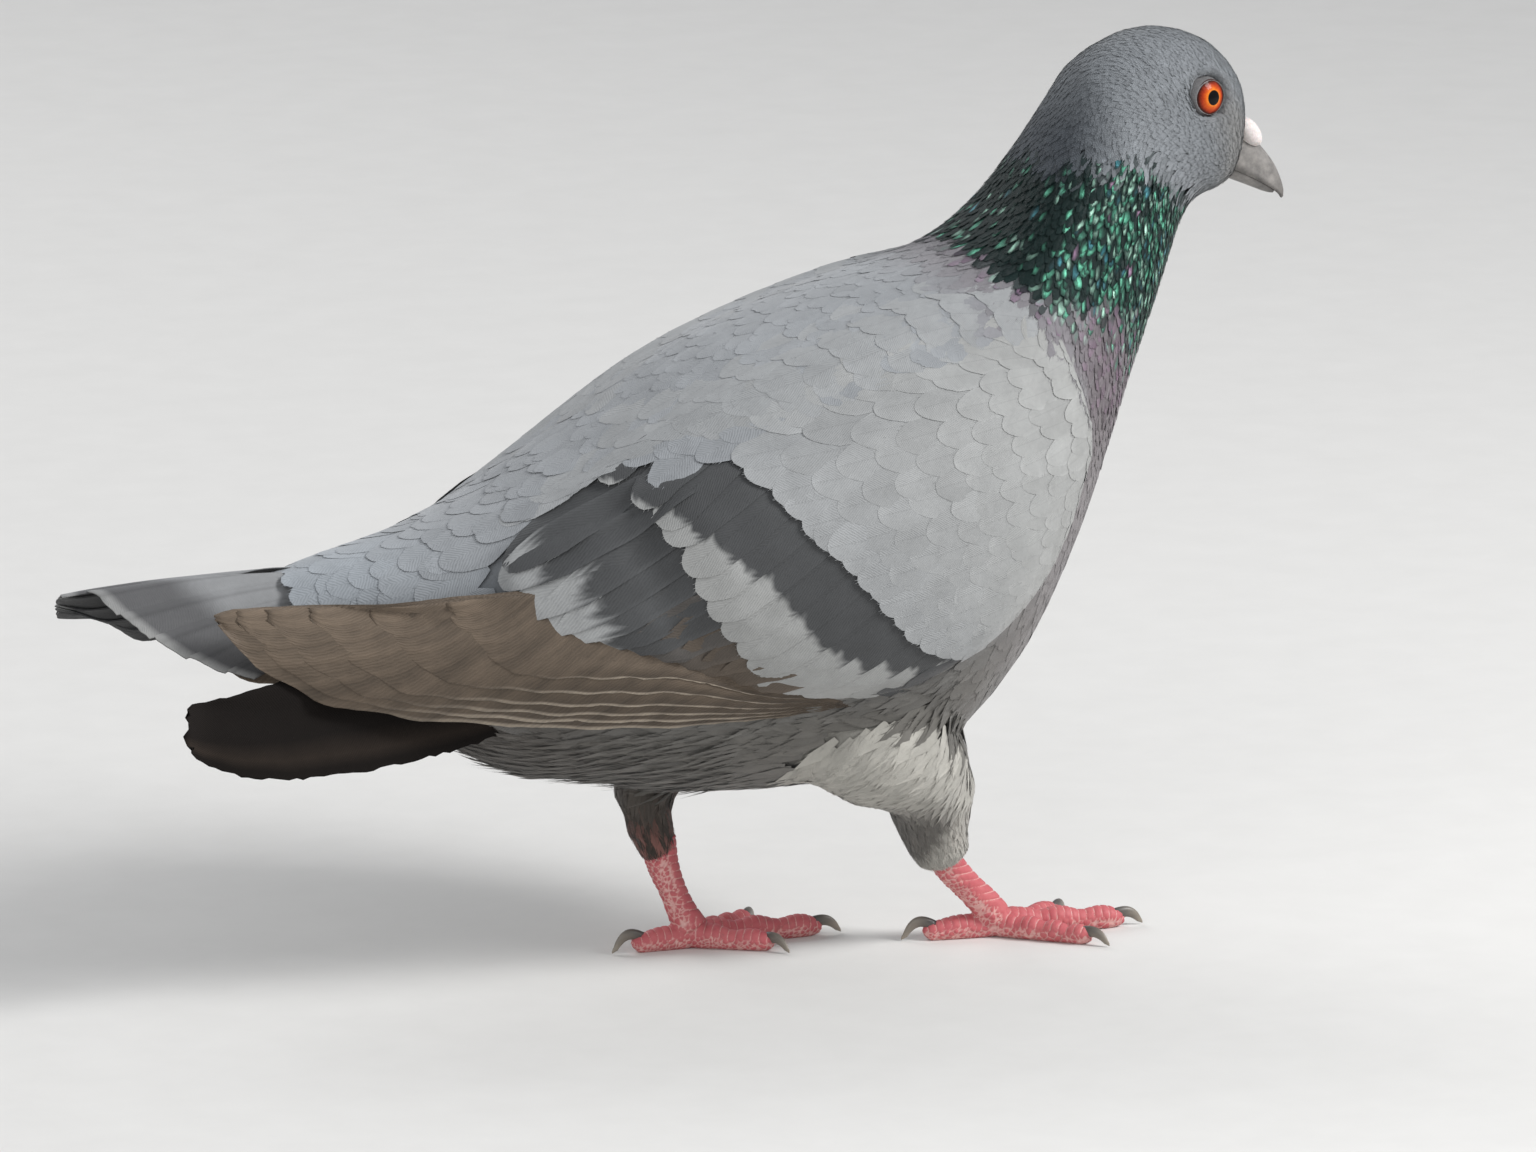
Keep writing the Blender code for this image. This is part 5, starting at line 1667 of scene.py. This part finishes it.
def tube(rows, count=18, squeeze=0.9):
    """Points and triangles of a closed tube through rows of (x, y, z, radius) in millimetres."""
    rows = np.asarray(rows, float)
    ahead = unit(np.gradient(rows[:, :3], axis=0))
    across = unit(np.cross(ahead, (0.0, 0.0, 1.0)))
    over = np.cross(across, ahead)
    a = round_angles(count)[None, :, None]
    ring = across[:, None] * np.cos(a) * squeeze + over[:, None] * np.sin(a)
    points = rows[:, None, :3] + ring * rows[:, None, 3:]
    points = np.concatenate([points.reshape(-1, 3), rows[[0, -1], :3]]) * MM
    quads = ring_quads(len(rows), count)
    return points, np.concatenate([quads[:, :3], quads[:, [0, 2, 3]], ring_caps(len(rows), count)])


def merged(solids):
    """Several solids' points and triangles as one pair of arrays."""
    counts = np.cumsum([0] + [len(p) for p, _f in solids])
    faces = [f + c for (_p, f), c in zip(solids, counts)]
    return np.concatenate([p for p, _f in solids]), np.concatenate(faces)


def toe_ends(word):
    """Where each toe ends, over the floor: at the root of its claw."""
    middle = np.mean(node_box("foot_" + word), axis=0) / MM
    ends = {}
    for toe in TOE_RADII:
        points, _faces = node_arrays(f"claw_{word}_{toe}")
        away = np.linalg.norm((points / MM - middle)[:, :2], axis=1)
        ends[toe] = points[np.argsort(away)[:6]].mean(0) / MM
    return ends


def make_leg(side):
    """The bare leg and foot as one skin, with plates along the toes and net-like scales elsewhere."""
    word = SIDE_WORDS[side]
    rng = seeded(11 + side)
    line = np.array(SHANK_LINES[side]) + (BODY_ZERO, 0, 0, 0)
    hub, solids, ends = line[-1], [tube(catmull(line, 8))], toe_ends(word)
    for toe, end in ends.items():
        thick, thin = TOE_RADII[toe]
        reach = unit(end - hub[:3]) * (1, 1, 0)
        t = np.linspace(0, 1, 26)
        joints = 1 + 0.09 * np.cos(2 * math.pi * (t * TOE_JOINTS[toe] + 0.5)) * smooth(0.1, 0.3, t)
        radius = (thick + (thin - thick) * t) * joints
        radius[-3:] *= (0.96, 0.82, 0.45)
        path = hub[:3] + (end - hub[:3] + reach * 1.2) * t[:, None]
        path[:, 2] = radius * (1.02 if toe != "hind" else 1.0) - SOLE_SINK
        path[:2, 2] += (0.8, 0.3)
        path[-3:, 2] += (0.0, 0.3, 0.7)
        solids.append(tube(np.column_stack([path, radius])))
    points, quads, normals = remeshed("leg_form", *merged(solids), 0.36 * MM, 4)
    best, along, toe_line = np.full(len(points), 1e9), np.zeros(len(points)), np.zeros((len(points), 3))
    for end in ends.values():
        way = (end - hub[:3]) * MM * (1, 1, 0)
        reach = np.linalg.norm(way)
        way /= reach
        rel = (points - hub[:3] * MM) * (1, 1, 0)
        t = (rel * way).sum(1)
        away = np.linalg.norm(rel - t[:, None] * way, axis=1)
        nearer = (away < best) & (t > 0)
        best, along = np.where(nearer, away, best), np.where(nearer, t, along)
        toe_line[nearer] = way
    shank = smooth(6.8, 9.5, points[:, 2] / MM)
    side_lean = (np.cross(toe_line, normals)[:, 2]) * 0.35
    scute = np.abs(((along / MM / PLATE + side_lean * side_lean) % 1.0) - 0.5) * 2
    rings = np.abs(((points[:, 2] / MM / PLATE + normals[:, 1] * 0.2) % 1.0) - 0.5) * 2
    front, top = smooth(-0.1, 0.5, normals[:, 0]), smooth(-0.05, 0.5, normals[:, 2])
    tree = kd_tree(points[rng.choice(len(points), len(points) // SCALE_SHARE, replace=False)])
    found = (tree.find_n(point, 2) for point in points)
    cell = np.array([(second[2] - first[2]) / (SCALE_EDGE * MM) for first, second in found])
    plates, shank_plates = (np.clip((1 - wave) * 2.6, 0, 1) for wave in (scute, rings))
    share_toe, share_shank = top * (1 - shank), front * shank
    scale = np.clip(cell, 0, 1) * (1 - share_toe) * (1 - share_shank)
    scale += plates * share_toe + shank_plates * share_shank
    pads = smooth(-0.3, -0.9, normals[:, 2]) * (1 - shank)
    rise = (np.sqrt(np.clip(scale, 0, 1)) - 0.7) * SCALE_RISE * MM * (1 - pads)
    points = points + normals * rise[:, None]
    points[:, 2] = np.maximum(points[:, 2], 0.0)
    mesh = array_mesh("leg_" + word, points, [quads])
    give_values(mesh, "scales", scale)
    made = new_piece("leg_" + word, mesh, "leg")
    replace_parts(made, "shank_" + word, "foot_" + word)


def ring_loft(name, rings, finish):
    """A closed loft of horn, with an attribute that runs from 0 at its root to 1 at its tip."""
    rings = np.asarray(rings, float)
    rows, count = rings.shape[:2]
    points = np.concatenate([rings.reshape(-1, 3), rings[:1].mean(1), rings[-1:].mean(1)])
    mesh = array_mesh(name, points, [ring_quads(rows, count), ring_caps(rows, count)])
    face_outward(mesh)
    give_values(mesh, "tip", np.concatenate([np.repeat(np.linspace(0, 1, rows), count), [0, 1]]))
    return new_piece(name, mesh, finish)


def face_outward(mesh):
    """Turns a closed mesh's faces outward, and keeps it smooth."""
    shape = bmesh.new()
    shape.from_mesh(mesh)
    bmesh.ops.recalc_face_normals(shape, faces=shape.faces)
    shape.to_mesh(mesh)
    shape.free()
    mesh.shade_smooth()


# A claw's radius at its root and height at its tip in millimetres, and how far round it curves
CLAW_RADIUS = 1.62
CLAW_TIP = 0.35
CLAW_ARC = 1.25


def make_claws():
    """Curved horn claws that leave the top of each toe's end and hook down to the floor."""
    for word in SIDE_WORDS.values():
        ends = toe_ends(word)
        middle = np.mean(node_box("foot_" + word), axis=0) / MM
        for toe, end in ends.items():
            line = unit((end - middle) * (1, 1, 0))
            side = np.cross((0, 0, 1.0), line)
            hind = toe == "hind"
            length, rise = (8.6, 1.9) if hind else (8.0, 1.0)
            base = end - line * 1.6
            base[2] = TOE_RADII[toe][1] * (1.25 if hind else 1.1)
            rings = []
            for t in np.linspace(0, 1, 16):
                radius = CLAW_RADIUS * (1 - t ** 1.5) ** 0.8 + 0.07
                ahead = length * math.sin(CLAW_ARC * t) / math.sin(CLAW_ARC) * 0.98
                hump = rise * math.sin(math.pi * min(t * 1.25, 1))
                height = base[2] + hump - (base[2] - CLAW_TIP) * t ** 2.1
                centre = base + line * ahead
                centre[2] = max(height, radius * 0.8 + 0.05)
                lean = unit(np.array((0, 0, 1.0)) + line * (1.5 * t - 0.1))
                rings.append([centre + side * math.cos(a) * radius * 0.62 + lean * math.sin(a) * radius
                              for a in round_angles(16)])
            rings = np.array(rings) * MM
            rings[..., 2] = np.maximum(rings[..., 2], 0.02 * MM)
            name = f"claw_{word}_{toe}"
            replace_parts(ring_loft(name + "_horn", rings, "claw"), name)


# Bill lofts in the side view from the body's zero: ridge (x, z), cutting edge (x, z), half width
UPPER_BILL = (
    (111.0, 193.8, 107.2, 183.4, 4.2), (113.4, 193.0, 110.2, 182.2, 3.8), (115.9, 190.0, 112.8, 181.0, 3.45),
    (118.0, 187.4, 115.2, 179.8, 3.05), (119.8, 185.2, 117.4, 178.6, 2.65), (121.4, 183.0, 119.4, 177.4, 2.2),
    (122.7, 180.6, 121.0, 176.4, 1.75), (123.7, 178.1, 122.3, 175.5, 1.3), (124.3, 175.9, 123.3, 174.6, 0.8),
    (124.3, 174.2, 123.7, 173.8, 0.35),
)
LOWER_BILL = (
    (107.6, 183.3, 106.8, 180.7, 3.5), (110.0, 182.4, 109.2, 179.9, 3.4), (112.6, 181.2, 111.7, 178.9, 3.1),
    (115.0, 180.0, 114.1, 177.9, 2.7), (117.2, 178.8, 116.4, 176.9, 2.2), (119.2, 177.6, 118.5, 176.0, 1.7),
    (120.8, 176.6, 120.3, 175.4, 1.15), (121.8, 175.9, 121.5, 175.2, 0.5),
)


def jaw(name, rows, upper):
    """Half of the bill: round outside, nearly flat inside, with a rolled cutting edge."""
    rings = []
    for row in catmull(rows, 4):
        crown, base = (row[:2], row[2:4]) if upper else (row[2:4], row[:2])
        ring = []
        for a in np.linspace(0, math.pi, 19):
            share = math.sin(a) ** 0.85
            ring.append((base + (crown - base) * share, (1 - 0.10 * share) * math.cos(a)))
        for y in np.linspace(-0.88, 0.88, 7):
            ring.append((base + (crown - base) * 0.10 * (1 - y * y), y))
        rings.append([((x + BODY_ZERO) * MM, row[4] * across * MM, z * MM) for (x, z), across in ring])
    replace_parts(ring_loft(name + "_horn", rings, "bill"), name)


# Cere lobes: centre (x, z) from the body's zero, distance from the middle plane, lean from level, half length
# and half width, and how far the groove between the lobes is sunk
CERE_CENTRE = (114.5, 190.9)
CERE_SIDE = 1.7
CERE_LEAN = math.radians(47)
CERE_RADII = (4.4, 2.5)
CERE_GROOVE = 0.30


def make_cere():
    """The two swollen lobes at the bill's root, smooth where they meet."""
    solids = []
    for side in SIDE_WORDS:
        t = np.linspace(-0.985, 1, 16)
        centre = np.array((CERE_CENTRE[0] + BODY_ZERO, side * CERE_SIDE, CERE_CENTRE[1]))
        ahead = np.array((math.cos(CERE_LEAN), -side * 0.10, -math.sin(CERE_LEAN)))
        radius = CERE_RADII[1] * np.sqrt(np.maximum(1 - t**2, 0.02)) * (1 - 0.12 * t)
        solids.append(tube(np.column_stack([centre + ahead * CERE_RADII[0] * t[:, None], radius]), 20, 1.0))
    points, quads, normals = remeshed("cere_form", *merged(solids), 0.2 * MM, 8)
    groove = np.exp(-((points[:, 1] / (0.5 * MM)) ** 2))
    points = points + normals * (0.12 - CERE_GROOVE * groove)[:, None] * MM
    made = new_piece("cere_skin", array_mesh("cere_skin", points, [quads]), "cere")
    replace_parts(made, "cere")


# How far an eye looks ahead and up. In millimetres: how deep its middle is sunk, how far its ball and cornea
# bulge, the lid's height and its half thickness, and how far the lid's skirt reaches out and down.
EYE_FORWARD = 0.40
EYE_UPWARD = 0.06
EYE_SUNK = 0.3
BALL_BULGE = 2.3
CORNEA_BULGE = 0.55
LID_HEIGHT = 1.36
LID_ROUND = 0.20
SKIRT_OUT = 0.85
SKIRT_DOWN = 2.3


def make_eye(side, opening):
    """A rounded eyeball with its iris, and the thin bare lids round it."""
    word = SIDE_WORDS[side]
    axis = unit(np.array((EYE_FORWARD, side * 1.0, EYE_UPWARD)))
    centre = EYE_CENTRES[side] - axis * EYE_SUNK * MM
    along = unit(np.cross((0, 0, 1.0), axis))
    up = np.cross(axis, along)
    count, rows = 48, 24
    radius = opening / 2
    rings = []
    for t in np.linspace(0.001, 1, rows)[::-1]:
        r = radius * 1.05 * t
        ball = BALL_BULGE * (1 - (r / (radius * 1.30)) ** 2) ** 0.5
        cornea = CORNEA_BULGE * max(0.0, 1 - (r / (radius * 0.98)) ** 2)
        rings.append([centre + ((along * math.cos(a) + up * math.sin(a)) * r + axis * (ball + cornea)) * MM
                      for a in round_angles(count)])
    rings = np.array(rings)
    points = np.concatenate([rings.reshape(-1, 3), rings[:1].mean(1) - axis * 1.5 * MM])
    front = np.arange((rows - 1) * count, rows * count)[None]
    faces = [ring_quads(rows, count), ring_caps(rows, count)[:count], front]
    mesh = array_mesh("eyeball_" + word, points, faces)
    face_outward(mesh)
    rel = points - centre
    flat = rel - (rel @ axis)[:, None] * axis
    give_values(mesh, "from_middle", np.linalg.norm(flat, axis=1) / (radius * MM))
    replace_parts(new_piece("eyeball_" + word, mesh, "eye"), "eye_" + word)
    lid = []
    for a in round_angles(96):
        out = along * math.cos(a) * (1.05 + 0.05 * math.cos(2 * a)) + up * math.sin(a) * 0.97
        crease = LID_ROUND * (1 + 0.06 * math.sin(26 * a) + 0.04 * math.sin(41 * a + 1))
        for b in round_angles(16):
            skirt = max(0.0, math.cos(b)) ** 2
            across = radius + 0.06 + math.cos(b) * crease + SKIRT_OUT * skirt
            height = LID_HEIGHT + math.sin(b) * crease - SKIRT_DOWN * skirt
            lid.append(centre + (out * across + axis * height) * MM)
    quads = ring_quads(97, 16)[:, [0, 3, 2, 1]] % len(lid)
    mesh = array_mesh("lid_" + word, np.array(lid), [quads])
    face_outward(mesh)
    new_piece("lid_" + word, mesh, "lid")


# ---- stage

AZIMUTH, ELEVATION = math.radians(-21), math.radians(13)
# In metres: how far off the camera is, how wide its view is there, and how far its aim is to the right and up
CAMERA_FAR = 4.0
FRAME_WIDE = 0.3686
AIM_RIGHT, AIM_UP = -0.0077, 0.0884
SENSOR = 36.0
FLOOR_WIDE = 8.0
# Each lamp's name, place, size and power
LAMPS = (
    ("key", (1.1, -0.75, 1.05), 0.55, 26.0),
    ("fill", (-1.0, -1.3, 0.8), 1.4, 9.0),
    ("rim", (-0.5, 1.2, 1.1), 1.0, 9.0),
)
SKY, SKY_STRENGTH = (0.92, 0.95, 1.0, 1), 0.42


def face_to(thing, way):
    """Turns a camera or lamp to look along a direction."""
    thing.rotation_mode = "QUATERNION"
    thing.rotation_quaternion = way.to_track_quat("-Z", "Y")


def make_stage(brightness):
    """A plain pale floor, soft studio light and the camera."""
    low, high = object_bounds()
    bpy.ops.mesh.primitive_grid_add(x_subdivisions=8, y_subdivisions=8, size=FLOOR_WIDE)
    floor = bpy.context.object
    floor.name = "studio_floor"
    floor.data.materials.append(finish_of("floor"))
    floor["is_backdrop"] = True
    back = Vector((math.sin(AZIMUTH) * math.cos(ELEVATION), -math.cos(AZIMUTH) * math.cos(ELEVATION),
                   math.sin(ELEVATION)))
    right = Vector((math.cos(AZIMUTH), math.sin(AZIMUTH), 0))
    up = back.cross(right)
    aim = right * AIM_RIGHT + up * AIM_UP + Vector((BODY_ZERO * MM, 0, 0))
    data = bpy.data.cameras.new("camera")
    data.sensor_width = SENSOR
    data.lens = SENSOR * CAMERA_FAR / FRAME_WIDE
    data.clip_end = 50
    camera = linked("camera", data)
    camera.location = aim + back * CAMERA_FAR
    face_to(camera, -back)
    bpy.context.scene.camera = camera
    for name, spot, size, power in LAMPS:
        lamp = bpy.data.lights.new(name, "AREA")
        lamp.shape = "SQUARE"
        lamp.size = size
        lamp.energy = power * brightness
        holder = linked(name, lamp)
        holder.location = Vector(spot)
        face_to(holder, (low + high) / 2 - Vector(spot))
    world = bpy.data.worlds.new("studio")
    world.use_nodes = True
    background = world.node_tree.nodes["Background"]
    background.inputs["Color"].default_value = SKY
    background.inputs["Strength"].default_value = SKY_STRENGTH
    bpy.context.scene.world = world
    bpy.context.scene.view_settings.view_transform = "Standard"


# ---- add-on

class PigeonSizes(bpy.types.PropertyGroup):
    coat_depth: bpy.props.FloatProperty(
        name="Coat Depth", description="How far the skin lies inside the outline, in millimetres",
        default=1.5, min=0.5, max=3.0)
    eye_opening: bpy.props.FloatProperty(
        name="Eye Opening", description="Width of the eye between its lids, in millimetres",
        default=8.4, min=6.0, max=10.0)


def colour_choice(name, description, default):
    return bpy.props.FloatVectorProperty(
        name=name, description=description, default=default, min=0.0, max=1.0, subtype="COLOR")


class PigeonColours(bpy.types.PropertyGroup):
    slate: colour_choice("Head", "Grey of the head", SLATE)
    green: colour_choice("Neck", "Main green of the neck's glints", MINT_GLINT)
    ash: colour_choice("Back and Wings", "Grey of the back and the wings", ASH)
    bar: colour_choice("Bars", "Dark grey of the wing's two bars", BAR)
    brown: colour_choice("Flight Feathers", "Brown of the worn primaries", BROWN)
    tail: colour_choice("Tail", "Grey of the tail before its dark end", TAIL_GREY)


class PigeonStage(bpy.types.PropertyGroup):
    brightness: bpy.props.FloatProperty(
        name="Brightness", description="Strength of the studio lamps", default=1.0, min=0.1, max=4.0,
        subtype="FACTOR")


class PIGEON_OT_skin(bpy.types.Operator):
    """Makes the one skin under the coat"""
    bl_idname = "pigeon.skin"
    bl_label = "Skin"

    def execute(self, context):
        make_skin(context.scene.pigeon_sizes.coat_depth)
        return {"FINISHED"}


class PIGEON_OT_body_plumage(bpy.types.Operator):
    """Makes the feathers of the head, neck, body and thighs"""
    bl_idname = "pigeon.body_plumage"
    bl_label = "Body Plumage"

    def execute(self, context):
        make_head_coat(seeded(1))
        make_neck_coat(seeded(2))
        make_body_coat(seeded(3))
        for side in SIDE_WORDS:
            make_thigh_coat(seeded(5 + side), side)
        make_belly_coat(seeded(8))
        make_fringe(seeded(9))
        return {"FINISHED"}


class PIGEON_OT_wings(bpy.types.Operator):
    """Makes the feathers of both folded wings"""
    bl_idname = "pigeon.wings"
    bl_label = "Wings"

    def execute(self, context):
        both_sides(make_primary_coat(seeded(21)), "primary_feathers", "flight", "flight_feathers",
                   "primaries", droop=6.5)
        both_sides(make_secondary_coat(seeded(22)), "secondary_feathers", "covert", "bar_feathers",
                   "secondaries")
        both_sides(make_covert_coat(seeded(23)), "covert_feathers", "covert", "pale_feathers",
                   "wing_coverts")
        both_sides(make_scapular_coat(seeded(24)), "scapular_feathers", "covert", "pale_feathers",
                   "scapulars")
        return {"FINISHED"}


class PIGEON_OT_tail(bpy.types.Operator):
    """Makes the tail feathers"""
    bl_idname = "pigeon.tail"
    bl_label = "Tail"

    def execute(self, context):
        for side in SIDE_WORDS:
            make_tail(seeded(31 + side), side)
        make_low_feather(seeded(33))
        return {"FINISHED"}


class PIGEON_OT_legs(bpy.types.Operator):
    """Makes the bare legs, the feet and the claws"""
    bl_idname = "pigeon.legs"
    bl_label = "Legs"

    def execute(self, context):
        for side in SIDE_WORDS:
            make_leg(side)
        make_claws()
        return {"FINISHED"}


class PIGEON_OT_face(bpy.types.Operator):
    """Makes the bill, the cere, the eyes and their lids"""
    bl_idname = "pigeon.face"
    bl_label = "Face"

    def execute(self, context):
        jaw("bill_upper", UPPER_BILL, True)
        jaw("bill_lower", LOWER_BILL, False)
        make_cere()
        for side in SIDE_WORDS:
            make_eye(side, context.scene.pigeon_sizes.eye_opening)
        return {"FINISHED"}


class PIGEON_OT_stage(bpy.types.Operator):
    """Makes the floor, the studio light and the camera"""
    bl_idname = "pigeon.stage"
    bl_label = "Stage"

    def execute(self, context):
        make_stage(context.scene.pigeon_stage.brightness)
        return {"FINISHED"}


OPERATORS = (PIGEON_OT_skin, PIGEON_OT_body_plumage, PIGEON_OT_wings, PIGEON_OT_tail, PIGEON_OT_legs,
             PIGEON_OT_face, PIGEON_OT_stage)


class PIGEON_PT_panel(bpy.types.Panel):
    """Lists the sizes and the pieces of the pigeon"""
    bl_label = "Pigeon"
    bl_idname = "PIGEON_PT_panel"
    bl_space_type = "VIEW_3D"
    bl_region_type = "UI"
    bl_category = "Pigeon"

    def draw(self, context):
        scene = context.scene
        for group in (scene.pigeon_sizes, scene.pigeon_colours, scene.pigeon_stage):
            for name in group.__annotations__:
                self.layout.prop(group, name)
        for operator in OPERATORS:
            self.layout.operator(operator.bl_idname)


CLASSES = (PigeonSizes, PigeonColours, PigeonStage, *OPERATORS, PIGEON_PT_panel)


def register():
    for cls in CLASSES:
        bpy.utils.register_class(cls)
    bpy.types.Scene.pigeon_sizes = bpy.props.PointerProperty(type=PigeonSizes)
    bpy.types.Scene.pigeon_colours = bpy.props.PointerProperty(type=PigeonColours)
    bpy.types.Scene.pigeon_stage = bpy.props.PointerProperty(type=PigeonStage)


def unregister():
    del bpy.types.Scene.pigeon_stage
    del bpy.types.Scene.pigeon_colours
    del bpy.types.Scene.pigeon_sizes
    for cls in reversed(CLASSES):
        bpy.utils.unregister_class(cls)


def main():
    register()
    bpy.ops.pigeon.skin()
    bpy.ops.pigeon.body_plumage()
    bpy.ops.pigeon.wings()
    bpy.ops.pigeon.tail()
    bpy.ops.pigeon.legs()
    bpy.ops.pigeon.face()
    bpy.ops.pigeon.stage()


if __name__ == "__main__":
    main()
